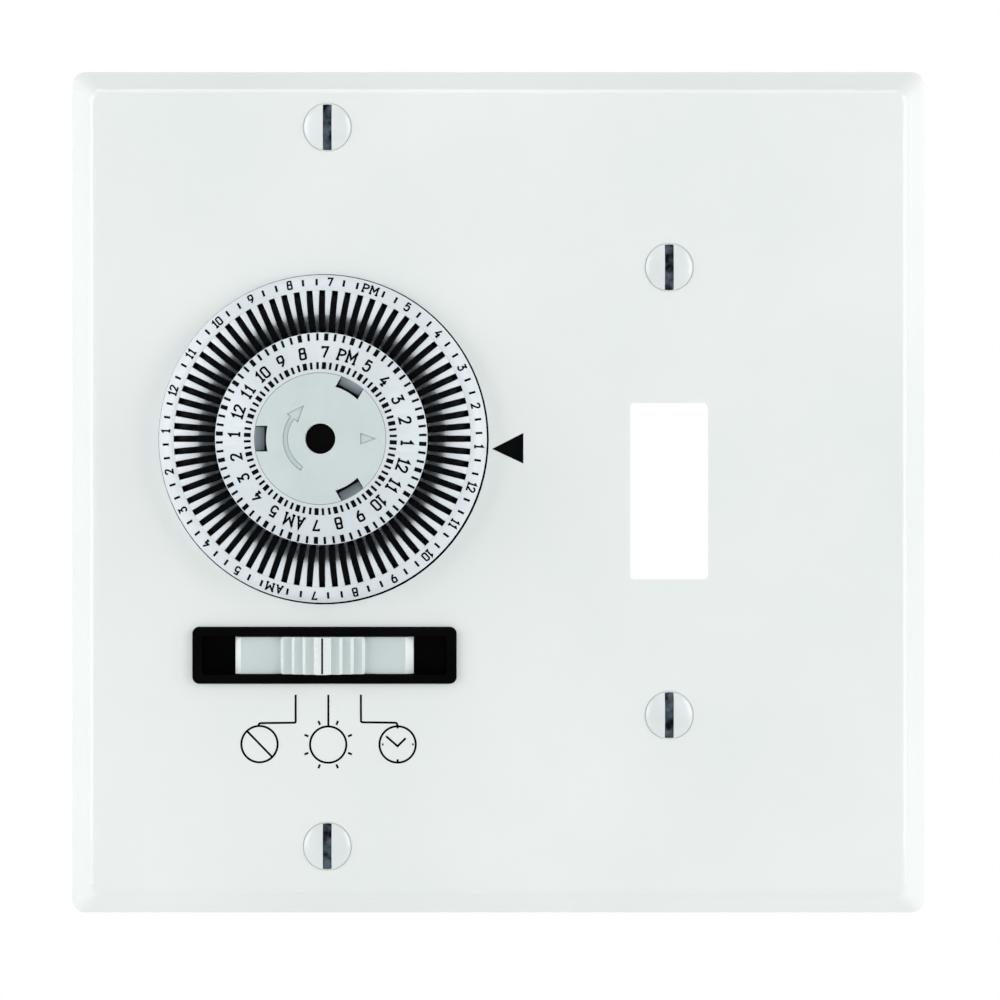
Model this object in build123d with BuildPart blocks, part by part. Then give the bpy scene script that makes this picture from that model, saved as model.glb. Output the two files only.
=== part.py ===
from build123d import *
from math import asin, cos, pi, radians, sin, tan
import os

# Two-gang timer light switch for a wall box: a 24-hour tripper dial and a
# three-way slider on the left, a bare toggle opening on the right.
# Millimetres. +X is right and +Z up as seen by the user, the front faces -Y,
# and the wall is the plane Y = 0. A height h is measured from the wall
# towards the user, so h = -Y; negative heights lie inside the wall box.

# Wall plate
PLATE_W = 115.9
PLATE_H = 114.3
PLATE_DEPTH = 5.6
PLATE_WALL = 1.0
PLATE_INSET = 3.0
PLATE_CORNER = 1.8
PLATE_SHOULDER = 1.5
GANG_PITCH = 46.04
DEVICE_RISE = 0.8
SWITCH_RISE = 0.2
PLATE_GAP = 0.2
PLATE_GAP_SHIFT = 0.07
TOGGLE_W = 10.55
TOGGLE_H = 23.8
TOGGLE_CORNER = 0.6

# Screws that hold the plate, the box and the case
SCREW_R = 1.753
NECK_R = 1.45
PLATE_NECK = 0.7
BOX_NECK = 1.5
HEAD_R = 3.3
HEAD_DOME = 0.85
HEAD_SINK = 1.5
SCREW_SLOT_W = 1.2
SCREW_SLOT_DEEP = 1.1
PLATE_SCREW_LONG = 14.0
TALL_SPACING = 96.84
SHORT_SPACING = 60.33
BOX_SPACING = 83.34
BOX_SCREW_LONG = 25.4
BOX_HEAD_R = 3.4
BOX_HEAD_T = 1.8
SCREW_GAP = 0.05
DIMPLE_WALL = 1.0

# Dial, from the outer edge inwards
DIAL_X = -23.58
DIAL_Z = 7.25
DIAL_R = 22.04
DIAL_EDGE_H = 6.5
BAND_IN_R = 19.95
BAND_IN_H = 8.5
BAND_BULGE = 0.3
SPOKE_IN_R = 16.9
SPOKE_IN_H = 9.0
GROOVE_R = 14.9
GROOVE_H = 7.4
RING_BACK_H = 3.2
HUB_R = 14.15
CONE_H = 11.5
CONE_WALL = 1.3
KNOB_R = 8.7
KNOB_H = 15.0
KNOB_T = 1.2
KNOB_GAP = 0.05
LEDGE_W = 0.35
TUBE_R = 4.0
BORE_R = 2.02
WEB_T = 1.4

# Windows in the knob and the catches behind them
WINDOWS = 3
WINDOW_FIRST = 30.0
WINDOW_IN_R = 7.15
WINDOW_W = 3.4
CATCH_GAP = 0.15
CATCH_HIGH = 0.4
CATCH_SLOPE = 0.9
CATCH_DEEP = 2.6

# Trippers: one captive blade for every twenty minutes
TRIPPERS = 72
HOURS = 24
BLADE_T = 0.74
BLADE_GAP = 0.03
BLADE_OUT_R = 19.85
BLADE_IN_R = 14.45
TAB_R = 16.6
TAB_H = 10.3
TAB_ROUND = 0.35
BLADE_SHOULDER_H = 9.5
BLADE_END_H = 7.7
BLADE_END_IN = 0.25
BLADE_KEEL_H = 3.0
FOOT_R = 17.6
FOOT_H = 1.6
HEEL_W = 0.4
HEEL_GAP = 0.1
TRAVEL = 2.3
STOP_GAP = 0.05

# Carrier, gear train and spindle
CARRIER_R = 17.3
CARRIER_T = 1.6
GEAR_MODULE = 0.5
GEAR_TEETH = 60
PINION_TEETH = 15
GEAR_T = 1.6
GEAR_BACKLASH = 0.12
PRESSURE = 20.0
LAYER_GAP = 0.1
SPINDLE_GAP = 0.05
SPINDLE_END = 2.4
SPINDLE_FLANGE_R = 3.4
RIVET_H = 0.8

# Front frame, with the slider's bezel
FRAME_W = 47.4
FRAME_H = 75.2
FRAME_CORNER = 2.0
FLANGE_BACK_H = 1.4
FLANGE_T = 1.5
WELL_R = 20.6
CASE_W = 45.0
CASE_H = 66.0
CASE_WALL = 1.3
CASE_CORNER = 2.5
FRAME_DEEP = 6.0
BEZEL_X = -23.4
BEZEL_Z = -21.9
BEZEL_W = 35.3
BEZEL_TALL = 7.4
BEZEL_CORNER = 0.8
BEZEL_PROUD = 0.6
BEZEL_GAP = 0.15
POST_IN_X = 4.2
POST_IN_Z = 3.4
POST_R = 2.2

# Slider, carriage and link
SLIDER_L = 24.0
SLIDER_TALL = 5.0
SLIDER_GAP = 0.12
SLIDER_STEP = 4.36
SLIDER_LIP_H = 6.9
SLIDER_LIP = 1.0
SLIDER_SAG = 0.8
SLIDER_FLOAT = 0.1
RIB_PITCH = 1.5
RIB_W = 0.35
RIB_HIGH = 0.3
RIB_FIRST = 2.55
RIDGE_W = 2.4
RIDGE_HIGH = 0.4
RIDGE_SHIFT = -0.2
STEM_L = 6.0
STEM_W = 2.4
STEM_DEEP = 3.6
CARRIAGE_L = 30.0
CARRIAGE_W = 9.0
CARRIAGE_T = 3.8
CARRIAGE_GAP = 0.2
NOTCH_W = 2.0
NOTCH_DEEP = 0.8
LEG_W = 2.4
LEG_TALL = 2.0
LINK_T = 0.8
LINK_TOP = 19.4
LINK_ARM = 8.8
SPRING_T = 0.4
SPRING_L = 24.0
SPRING_RISE = 0.5
SPRING_GAP = 0.1
SPRING_SEAT = 3.0

# Movement plate
MOVEMENT_T = 1.0
MOVEMENT_FRONT_H = -3.2
MOVEMENT_GAP = 0.2
WINDOW_GAP = 0.4
TAB_T = 1.0

# Trip lever and contacts
NOSE_ANGLE = 2.5
NOSE_R = 19.2
NOSE_L = 2.0
NOSE_TIP_W = 0.5
NOSE_TIP_H = 0.2
NOSE_TIP_DEEP = 1.3
NOSE_W = 2.4
LEVER_PIVOT_Z = 13.0
LEVER_PIVOT_H = -7.8
LEVER_W = 3.2
LEVER_T = 1.4
LEVER_BOSS_R = 1.8
PUSHER_Z = 22.0
PUSHER_W = 1.6
PUSHER_GAP = 0.3
PIN_R = 0.8
PIN_GAP = 0.05
LEAF_H = -11.6
LEAF_T = 0.4
LEAF_W = 4.0
LEAF_LOW_Z = 16.4
LEAF_END_GAP = 0.4
CONTACT_Z = 18.0
CONTACT_R = 1.5
CONTACT_T = 0.8
CONTACT_OPEN = 1.3
STRIP_T = 0.8
STRIP_W = 5.0
ANCHOR_GAP = 0.3
BASE_W = 10.0
BASE_T = 3.6
BASE_LOW_Z = 14.0
BASE_TOP_GAP = 0.7

# Motor
MOTOR_R = 16.0
MOTOR_WALL = 0.8
MOTOR_FRONT_H = -6.8
MOTOR_DEEP = 16.0
MOTOR_POST_R = 1.5
MOTOR_POST_RING = 14.0
SHAFT_R = 1.0
ROTOR_R = 8.0
ROTOR_T = 9.0
ROTOR_SHAFT_R = 0.6
BOBBIN_IN_R = 9.0
BOBBIN_OUT_R = 14.8
BOBBIN_T = 11.6
BOBBIN_WALL = 0.8
WINDING_R = 13.8

# Rear case, terminals and ears
CASE_DEEP = 35.0
BACK_T = 2.0
BACK_ROUND = 1.5
CASE_SCREW_R = 1.1
CASE_HEAD_R = 2.0
CASE_HEAD_T = 1.4
CASE_SCREW_BITE = 4.0
TERMINALS = 3
TERMINAL_PITCH = 12.0
TERMINAL_TOP_Z = 18.0
TERMINAL_H = -14.8
TERMINAL_W = 8.0
TERMINAL_T = 0.8
TERMINAL_SCREW_R = 1.9
TERMINAL_HEAD_R = 3.3
TERMINAL_HEAD_T = 1.6
BARRIER_T = 1.2
BARRIER_PROUD = 2.2
VENTS = 5
VENT_W = 1.6
VENT_LONG = 9.0
VENT_PITCH = 4.2
VENT_H = -14.0
CASE_RIBS = 4
CASE_RIB_PROUD = 0.6
CASE_RIB_W = 1.6
CASE_RIB_PITCH = 9.0
EAR_W = 33.0
EAR_T = 1.3
EAR_BACK_H = 0.1
EAR_END = 53.0
EAR_CHAMFER = 3.0
EAR_GAP = 0.2
EAR_SLOT_L = 7.2
EAR_SLOT_W = 4.2
EAR_SCREW_X = 11.0
EAR_SCREW_R = 1.15
EAR_HEAD_R = 2.0
EAR_HEAD_T = 0.8
GROUND_X = -34.0
GROUND_R = 1.9
GROUND_HEAD_R = 3.8
GROUND_HEAD_T = 1.5
GROUND_LONG = 6.0

# One overrun serves every cut
OVER = 1.0

# Places worked out from the sizes above
LEFT_X = -GANG_PITCH / 2
RIGHT_X = GANG_PITCH / 2
PLATE_BACK_H = PLATE_DEPTH - PLATE_WALL
FLANGE_H = FLANGE_BACK_H + FLANGE_T
CARRIER_H = BLADE_KEEL_H - TRAVEL - STOP_GAP
GEAR_H = CARRIER_H - CARRIER_T
GEAR_BACK_H = GEAR_H - GEAR_T
MOVEMENT_BACK_H = MOVEMENT_FRONT_H - MOVEMENT_T
CENTRE_DISTANCE = GEAR_MODULE * (GEAR_TEETH + PINION_TEETH) / 2
MOTOR_X = DIAL_X
MOTOR_Z = DIAL_Z - CENTRE_DISTANCE
SEAM_H = -FRAME_DEEP
BEZEL_H = PLATE_DEPTH + BEZEL_PROUD
RECESS_L = SLIDER_L + 2 * SLIDER_STEP + 2 * SLIDER_GAP
RECESS_TALL = SLIDER_TALL + 2 * SLIDER_GAP
CARRIAGE_H = FLANGE_BACK_H - CARRIAGE_GAP
CARRIAGE_BACK_H = CARRIAGE_H - CARRIAGE_T
LEG_X = BEZEL_X - CARRIAGE_L / 2 + LEG_W / 2
NOSE_X = DIAL_X + NOSE_R * sin(radians(NOSE_ANGLE))
NOSE_Z = DIAL_Z + NOSE_R * cos(radians(NOSE_ANGLE))
LEAF_BACK_H = LEAF_H - LEAF_T
FIXED_H = LEAF_BACK_H - CONTACT_T - CONTACT_OPEN
STRIP_H = FIXED_H - CONTACT_T / 2
BASE_H = STRIP_H - STRIP_T
MOTOR_BACK_H = MOTOR_FRONT_H - MOTOR_WALL - MOTOR_DEEP
CASE_LEFT = LEFT_X - CASE_W / 2
BASE_TOP_Z = DEVICE_RISE + CASE_H / 2 - CASE_WALL - BASE_TOP_GAP
LEAF_TOP_Z = BASE_TOP_Z - LEAF_END_GAP
POST_X = CASE_W / 2 - POST_IN_X
POST_Z = CASE_H / 2 - POST_IN_Z
CORNERS = [(LEFT_X + i * POST_X, DEVICE_RISE + k * POST_Z) for i in (-1, 1) for k in (-1, 1)]
PLATE_SCREWS = [(LEFT_X, DEVICE_RISE + k * TALL_SPACING / 2) for k in (-1, 1)]
PLATE_SCREWS += [(RIGHT_X, SWITCH_RISE + k * SHORT_SPACING / 2) for k in (-1, 1)]
BOX_SCREWS = [(LEFT_X, DEVICE_RISE + k * BOX_SPACING / 2) for k in (-1, 1)]
EAR_SCREW_Z = FRAME_H / 2 - EAR_HEAD_R
DIAL_AXIS = Axis((DIAL_X, 0, DIAL_Z), (0, -1, 0))


def front(h, x=0, z=0):
    """The plane that faces the user at height h, its origin at x and z."""
    return Plane(origin=(x, -h, z), x_dir=(1, 0, 0), z_dir=(0, -1, 0))


def radial(angle, x=DIAL_X, z=DIAL_Z):
    """A plane through an axis: its x runs outwards at that clockwise angle, its y is the height."""
    s, c = sin(radians(angle)), cos(radians(angle))
    return Plane(origin=(x, 0, z), x_dir=(s, 0, c), z_dir=(c, 0, -s))


def slab(x, z, wide, tall, low, high, corner=0, mode=Mode.ADD):
    """A flat block seen from the front, from one height to another."""
    with BuildSketch(front(low, x, z)) as outline:
        if corner:
            RectangleRounded(wide, tall, corner)
        else:
            Rectangle(wide, tall)
    extrude(outline.sketch, amount=high - low, mode=mode)


def rod(x, z, r, low, high, mode=Mode.ADD):
    """A round bar along the depth, from one height to another."""
    with BuildSketch(front(low, x, z)) as outline:
        Circle(r)
    extrude(outline.sketch, amount=high - low, mode=mode)


def driver_slot(x, z, low, high, across):
    """Cuts the upright slot of a slotted screw head."""
    slab(x, z, SCREW_SLOT_W, across, low, high, mode=Mode.SUBTRACT)


def finish(builder, name):
    """Labels a finished piece and writes it."""
    builder.part.label = name
    export_step(builder.part, "parts/" + name + ".step")


os.makedirs("parts", exist_ok=True)

# Wall plate: a pressed steel shell whose sides slope in to a rounded shoulder,
# with a dimpled seat for each screw.
with BuildPart() as wall_plate:
    with BuildSketch(front(0)):
        RectangleRounded(PLATE_W, PLATE_H, PLATE_CORNER)
    with BuildSketch(front(PLATE_DEPTH)):
        RectangleRounded(PLATE_W - 2 * PLATE_INSET, PLATE_H - 2 * PLATE_INSET, PLATE_CORNER)
    loft()
    fillet(wall_plate.faces().sort_by(Axis.Y)[0].edges(), PLATE_SHOULDER)
    with BuildSketch(front(0)):
        RectangleRounded(PLATE_W - 2 * PLATE_WALL, PLATE_H - 2 * PLATE_WALL, PLATE_CORNER)
    with BuildSketch(front(PLATE_BACK_H)):
        RectangleRounded(
            PLATE_W - 2 * PLATE_INSET - 2 * PLATE_WALL,
            PLATE_H - 2 * PLATE_INSET - 2 * PLATE_WALL,
            PLATE_CORNER,
        )
    loft(mode=Mode.SUBTRACT)
    for x, z in PLATE_SCREWS:
        with BuildSketch(radial(0, x, z)) as dimple:
            with BuildLine():
                Polyline(
                    (0, PLATE_BACK_H),
                    (HEAD_R + DIMPLE_WALL, PLATE_BACK_H),
                    (SCREW_R + DIMPLE_WALL, PLATE_DEPTH - HEAD_SINK - DIMPLE_WALL / 2),
                    (0, PLATE_DEPTH - HEAD_SINK - DIMPLE_WALL / 2),
                    close=True,
                )
            make_face()
        revolve(dimple.sketch, axis=Axis((x, 0, z), (0, -1, 0)))
        with BuildSketch(radial(0, x, z)) as seat:
            with BuildLine():
                Polyline(
                    (0, PLATE_DEPTH + OVER),
                    (HEAD_R + SCREW_GAP, PLATE_DEPTH + OVER),
                    (HEAD_R + SCREW_GAP, PLATE_DEPTH),
                    (SCREW_R + SCREW_GAP, PLATE_DEPTH - HEAD_SINK),
                    (SCREW_R + SCREW_GAP, 0),
                    (0, 0),
                    close=True,
                )
            make_face()
        revolve(seat.sketch, axis=Axis((x, 0, z), (0, -1, 0)), mode=Mode.SUBTRACT)
    rod(DIAL_X + PLATE_GAP_SHIFT, DIAL_Z - PLATE_GAP_SHIFT, DIAL_R + PLATE_GAP,
        0, PLATE_DEPTH + OVER, mode=Mode.SUBTRACT)
    slab(
        BEZEL_X, BEZEL_Z, BEZEL_W + 2 * BEZEL_GAP, BEZEL_TALL + 2 * BEZEL_GAP,
        0, PLATE_DEPTH + OVER, BEZEL_CORNER + BEZEL_GAP, mode=Mode.SUBTRACT,
    )
    slab(
        RIGHT_X, SWITCH_RISE, TOGGLE_W, TOGGLE_H, 0, PLATE_DEPTH + OVER, TOGGLE_CORNER,
        mode=Mode.SUBTRACT,
    )
finish(wall_plate, "wall_plate")

# Oval-head screws of the plate: the left pair bites the ears, the right pair
# waits for the strap of the neighbouring switch.
with BuildPart() as plate_screws:
    for x, z in PLATE_SCREWS:
        with BuildSketch(radial(0, x, z)) as section:
            with BuildLine():
                Polyline(
                    (0, PLATE_DEPTH + HEAD_DOME),
                    (0, PLATE_DEPTH - PLATE_SCREW_LONG),
                    (SCREW_R, PLATE_DEPTH - PLATE_SCREW_LONG),
                    (SCREW_R, PLATE_DEPTH - HEAD_SINK - PLATE_NECK),
                    (NECK_R, PLATE_DEPTH - HEAD_SINK - PLATE_NECK),
                    (NECK_R, PLATE_DEPTH - HEAD_SINK),
                    (HEAD_R, PLATE_DEPTH),
                )
                ThreePointArc(
                    (HEAD_R, PLATE_DEPTH),
                    (HEAD_R / 2, PLATE_DEPTH + HEAD_DOME * 3 / 4),
                    (0, PLATE_DEPTH + HEAD_DOME),
                )
            make_face()
        revolve(section.sketch, axis=Axis((x, 0, z), (0, -1, 0)))
        top = PLATE_DEPTH + HEAD_DOME
        driver_slot(x, z, top - SCREW_SLOT_DEEP, top + OVER, 2 * HEAD_R + OVER)
finish(plate_screws, "plate_screws")

# Dial ring: the printed outer band and the comb that guides the trippers.
with BuildPart() as dial_ring:
    with BuildSketch(radial(90)):
        with BuildLine():
            Polyline(
                (HUB_R, GROOVE_H),
                (HUB_R, CARRIER_H),
                (CARRIER_R, CARRIER_H),
                (CARRIER_R, RING_BACK_H),
                (DIAL_R, RING_BACK_H),
                (DIAL_R, DIAL_EDGE_H),
            )
            ThreePointArc(
                (DIAL_R, DIAL_EDGE_H),
                (
                    (DIAL_R + BAND_IN_R) / 2 + BAND_BULGE,
                    (DIAL_EDGE_H + BAND_IN_H) / 2 + BAND_BULGE,
                ),
                (BAND_IN_R, BAND_IN_H),
            )
            Line((BAND_IN_R, BAND_IN_H), (SPOKE_IN_R, SPOKE_IN_H))
            Spline(
                (SPOKE_IN_R, SPOKE_IN_H),
                ((SPOKE_IN_R + GROOVE_R) / 2, (SPOKE_IN_H + GROOVE_H) / 2 + BAND_BULGE),
                (GROOVE_R, GROOVE_H),
                tangents=[(-1, 0), (-1, 0)],
            )
            Line((GROOVE_R, GROOVE_H), (HUB_R, GROOVE_H))
        make_face()
    revolve(axis=DIAL_AXIS)
    SLOT_OUT_R = BLADE_OUT_R + STOP_GAP
    with BuildSketch(front(0, DIAL_X, DIAL_Z)):
        with PolarLocations((SLOT_OUT_R + HUB_R - OVER) / 2, TRIPPERS):
            Rectangle(SLOT_OUT_R - HUB_R + OVER, BLADE_T + 2 * BLADE_GAP)
    extrude(amount=TAB_H, mode=Mode.SUBTRACT)
finish(dial_ring, "dial_ring")

# Dial hub: the cone with the inner scales, its skirt, a web and the centre
# tube, with a sloped catch behind each window of the knob.
LEDGE_H = KNOB_H - KNOB_T
with BuildPart() as dial_hub:
    with BuildSketch(radial(90)):
        with BuildLine():
            Polyline(
                (BORE_R, GEAR_BACK_H),
                (TUBE_R, GEAR_BACK_H),
                (TUBE_R, CARRIER_H),
                (HUB_R, CARRIER_H),
                (HUB_R, CONE_H),
                (KNOB_R + KNOB_GAP, KNOB_H),
                (KNOB_R + KNOB_GAP, LEDGE_H),
                (KNOB_R - LEDGE_W, LEDGE_H),
                (KNOB_R - LEDGE_W, LEDGE_H - CONE_WALL),
                (HUB_R - CONE_WALL, CONE_H - CONE_WALL),
                (HUB_R - CONE_WALL, CARRIER_H + WEB_T),
                (TUBE_R, CARRIER_H + WEB_T),
                (TUBE_R, LEDGE_H),
                (BORE_R, LEDGE_H),
                close=True,
            )
        make_face()
    revolve(axis=DIAL_AXIS)
    for k in range(WINDOWS):
        with BuildSketch(radial(WINDOW_FIRST + 360 * k / WINDOWS)) as catch:
            with BuildLine():
                Polyline(
                    (KNOB_R + 2 * KNOB_GAP, LEDGE_H + CATCH_HIGH),
                    (WINDOW_IN_R + 2 * CATCH_GAP, LEDGE_H + CATCH_HIGH - CATCH_SLOPE),
                    (WINDOW_IN_R + 2 * CATCH_GAP, LEDGE_H - CATCH_DEEP),
                    (HUB_R - CONE_WALL, CONE_H - CONE_WALL - CATCH_DEEP),
                    (HUB_R - CONE_WALL, CONE_H - CONE_WALL),
                    (KNOB_R + 2 * KNOB_GAP, LEDGE_H - CONE_WALL),
                    close=True,
                )
            make_face()
        extrude(catch.sketch, amount=WINDOW_W / 2 - CATCH_GAP, both=True)
finish(dial_hub, "dial_hub")

# Dial knob: the flat disc in the middle, held by the catches.
with BuildPart() as dial_knob:
    rod(DIAL_X, DIAL_Z, KNOB_R, LEDGE_H, KNOB_H)
    rod(DIAL_X, DIAL_Z, BORE_R, LEDGE_H - OVER, KNOB_H + OVER, mode=Mode.SUBTRACT)
    with BuildSketch(front(LEDGE_H - OVER, DIAL_X, DIAL_Z)):
        with PolarLocations(
            (WINDOW_IN_R + KNOB_R) / 2, WINDOWS, start_angle=90 - WINDOW_FIRST
        ):
            Rectangle(KNOB_R - WINDOW_IN_R + 2 * OVER, WINDOW_W)
        Circle(WINDOW_IN_R, mode=Mode.SUBTRACT)
    extrude(amount=KNOB_T + 2 * OVER, mode=Mode.SUBTRACT)
finish(dial_knob, "dial_knob")

# Dial carrier: the black disc behind the comb, which also stops the trippers.
with BuildPart() as dial_carrier:
    rod(DIAL_X, DIAL_Z, CARRIER_R, GEAR_H, CARRIER_H)
    rod(DIAL_X, DIAL_Z, TUBE_R, GEAR_H - OVER, CARRIER_H + OVER, mode=Mode.SUBTRACT)
finish(dial_carrier, "dial_carrier")


def tooth_points(teeth, turn):
    """Corner points of a spur gear outline with straight flanks, thinned by the backlash."""
    pitch_r = GEAR_MODULE * teeth / 2
    tip_r = pitch_r + GEAR_MODULE
    root_r = pitch_r - GEAR_MODULE * 5 / 4
    half = (pi * GEAR_MODULE / 2 - GEAR_BACKLASH) / 2
    points = []
    for k in range(teeth):
        middle = radians(turn + 360 * k / teeth)
        for side in (-1, 1):
            for r in ((root_r, tip_r), (tip_r, root_r))[side > 0]:
                wide = half - (r - pitch_r) * tan(radians(PRESSURE))
                a = middle + side * asin(wide / r)
                points.append((r * cos(a), r * sin(a)))
    return points


# Dial gear, driven by the motor's pinion.
with BuildPart() as dial_gear:
    with BuildSketch(front(GEAR_BACK_H, DIAL_X, DIAL_Z)):
        with BuildLine():
            Polyline(*tooth_points(GEAR_TEETH, -90), close=True)
        make_face()
        Circle(TUBE_R, mode=Mode.SUBTRACT)
    extrude(amount=GEAR_T)
finish(dial_gear, "dial_gear")


def blade_profile():
    """One tripper seen from its flat side: radius from the dial's axis, and height."""
    foot_out_r = BLADE_OUT_R + HEEL_W
    with BuildSketch() as profile:
        with BuildLine():
            Polyline(
                (BLADE_IN_R, TAB_H - TAB_ROUND),
                (BLADE_IN_R, BLADE_KEEL_H),
                (FOOT_R, BLADE_KEEL_H),
                (FOOT_R, FOOT_H),
                (foot_out_r, FOOT_H),
                (foot_out_r, RING_BACK_H - HEEL_GAP),
                (BLADE_OUT_R, RING_BACK_H - HEEL_GAP),
                (BLADE_OUT_R, BLADE_END_H),
                (BLADE_OUT_R - BLADE_END_IN, BLADE_END_H + BLADE_END_IN),
            )
            ThreePointArc(
                (BLADE_OUT_R - BLADE_END_IN, BLADE_END_H + BLADE_END_IN),
                ((BLADE_OUT_R + TAB_R) / 2, BLADE_SHOULDER_H - BLADE_END_IN),
                (TAB_R, BLADE_SHOULDER_H),
            )
            Polyline(
                (TAB_R, BLADE_SHOULDER_H),
                (TAB_R, TAB_H),
                (BLADE_IN_R + TAB_ROUND, TAB_H),
                (BLADE_IN_R, TAB_H - TAB_ROUND),
            )
        make_face()
    return profile.sketch


# Trippers: three blades to the hour, twenty-four groups round the dial.
BLADE = blade_profile()
PER_HOUR = TRIPPERS // HOURS
for hour in range(HOURS):
    with BuildPart() as trippers:
        for k in range(PER_HOUR):
            plane = radial(360 * (hour * PER_HOUR + k) / TRIPPERS)
            extrude(plane * BLADE, amount=BLADE_T / 2, both=True)
    finish(trippers, f"trippers_hour_{hour + 1:02d}")

# Dial spindle: a stud riveted in the movement plate.
with BuildPart() as dial_spindle:
    rod(DIAL_X, DIAL_Z, BORE_R - SPINDLE_GAP, MOVEMENT_BACK_H - RIVET_H, KNOB_H - SPINDLE_END)
    rod(DIAL_X, DIAL_Z, SPINDLE_FLANGE_R, MOVEMENT_FRONT_H, GEAR_BACK_H - LAYER_GAP)
    rod(DIAL_X, DIAL_Z, SPINDLE_FLANGE_R, MOVEMENT_BACK_H - RIVET_H, MOVEMENT_BACK_H)
    chamfer(dial_spindle.faces().sort_by(Axis.Y)[0].edges(), SPINDLE_GAP * 4)
finish(dial_spindle, "dial_spindle")

# Front frame: the flange behind the plate with the dial's well, the bezel
# that comes through the plate, and a skirt that meets the rear case.
with BuildPart() as front_frame:
    slab(LEFT_X, DEVICE_RISE, FRAME_W, FRAME_H, FLANGE_BACK_H, FLANGE_H, FRAME_CORNER)
    slab(LEFT_X, DEVICE_RISE, CASE_W, CASE_H, SEAM_H, FLANGE_BACK_H, CASE_CORNER)
    slab(
        LEFT_X, DEVICE_RISE, CASE_W - 2 * CASE_WALL, CASE_H - 2 * CASE_WALL,
        SEAM_H, FLANGE_BACK_H, CASE_CORNER - CASE_WALL, mode=Mode.SUBTRACT,
    )
    for x, z in CORNERS:
        rod(x, z, POST_R, MOVEMENT_FRONT_H, FLANGE_BACK_H)
    for side in (-1, 1):
        slab(
            BEZEL_X + side * (SPRING_L / 2 - SPRING_SEAT / 2),
            BEZEL_Z - CARRIAGE_W / 2 - SPRING_RISE - SPRING_GAP - SPRING_T - SPRING_SEAT / 4,
            SPRING_SEAT, SPRING_SEAT / 2, CARRIAGE_BACK_H, FLANGE_BACK_H,
        )
    slab(BEZEL_X, BEZEL_Z, BEZEL_W, BEZEL_TALL, FLANGE_H, BEZEL_H, BEZEL_CORNER)
    slab(
        BEZEL_X, BEZEL_Z, RECESS_L, RECESS_TALL, FLANGE_H, BEZEL_H + OVER, BEZEL_CORNER / 2,
        mode=Mode.SUBTRACT,
    )
    slab(
        BEZEL_X, BEZEL_Z, STEM_L + 2 * SLIDER_STEP + 2 * SLIDER_GAP, STEM_W + 2 * SLIDER_GAP,
        FLANGE_BACK_H - OVER, FLANGE_H + OVER, mode=Mode.SUBTRACT,
    )
    rod(DIAL_X, DIAL_Z, WELL_R, FLANGE_BACK_H - OVER, FLANGE_H + OVER, mode=Mode.SUBTRACT)
    for x, z in CORNERS:
        rod(x, z, CASE_SCREW_R + SCREW_GAP, MOVEMENT_FRONT_H - OVER,
            MOVEMENT_FRONT_H + CASE_SCREW_BITE, mode=Mode.SUBTRACT)
    for i in (-1, 1):
        for k in (-1, 1):
            rod(LEFT_X + i * EAR_SCREW_X, DEVICE_RISE + k * EAR_SCREW_Z, EAR_SCREW_R + SCREW_GAP,
                FLANGE_BACK_H - OVER, FLANGE_H + OVER, mode=Mode.SUBTRACT)
finish(front_frame, "front_frame")

# Mode slider: a saddle with finger ribs and a broad middle ridge, on a stem.
with BuildPart() as mode_slider:
    HALF = SLIDER_L / 2
    SLIDER_H = FLANGE_H + SLIDER_FLOAT
    SADDLE_H = SLIDER_LIP_H - SLIDER_SAG
    RIDGE_X = BEZEL_X + RIDGE_SHIFT
    with BuildSketch(radial(90, BEZEL_X, BEZEL_Z)):
        with BuildLine():
            Polyline(
                (-HALF + SLIDER_LIP, SLIDER_LIP_H),
                (-HALF, SLIDER_LIP_H - SLIDER_LIP),
                (-HALF, SLIDER_H),
                (HALF, SLIDER_H),
                (HALF, SLIDER_LIP_H - SLIDER_LIP),
                (HALF - SLIDER_LIP, SLIDER_LIP_H),
            )
            ThreePointArc(
                (HALF - SLIDER_LIP, SLIDER_LIP_H),
                (0, SADDLE_H),
                (-HALF + SLIDER_LIP, SLIDER_LIP_H),
            )
        make_face()
    extrude(amount=SLIDER_TALL / 2, both=True)
    for side in (-1, 1):
        for k in range(3):
            slab(RIDGE_X + side * (RIB_FIRST + k * RIB_PITCH), BEZEL_Z, RIB_W,
                 SLIDER_TALL - RIB_W, SLIDER_H, SADDLE_H + RIB_HIGH)
    slab(RIDGE_X, BEZEL_Z, RIDGE_W, SLIDER_TALL, SLIDER_H, SADDLE_H + RIDGE_HIGH)
    slab(BEZEL_X, BEZEL_Z, STEM_L, STEM_W, SLIDER_H - STEM_DEEP, SLIDER_H)
finish(mode_slider, "mode_slider")

# Selector carriage: rides behind the flange on the slider's stem, with a
# notch for each of the three positions and a leg for the link.
with BuildPart() as selector_carriage:
    slab(BEZEL_X, BEZEL_Z, CARRIAGE_L, CARRIAGE_W, CARRIAGE_BACK_H, CARRIAGE_H)
    slab(
        BEZEL_X, BEZEL_Z, STEM_L + 2 * SCREW_GAP, STEM_W + 2 * SCREW_GAP,
        SLIDER_H - STEM_DEEP - SCREW_GAP, CARRIAGE_H + OVER, mode=Mode.SUBTRACT,
    )
    with BuildSketch(front(CARRIAGE_BACK_H, BEZEL_X, BEZEL_Z - CARRIAGE_W / 2)) as notches:
        for k in (-1, 0, 1):
            with BuildLine():
                Polyline(
                    (k * SLIDER_STEP - NOTCH_W / 2, 0),
                    (k * SLIDER_STEP, NOTCH_DEEP),
                    (k * SLIDER_STEP + NOTCH_W / 2, 0),
                    close=True,
                )
            make_face()
    extrude(notches.sketch, amount=CARRIAGE_T, mode=Mode.SUBTRACT)
    slab(LEG_X, BEZEL_Z, LEG_W, LEG_TALL, MOVEMENT_BACK_H - WINDOW_GAP, CARRIAGE_BACK_H)
finish(selector_carriage, "selector_carriage")

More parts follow.
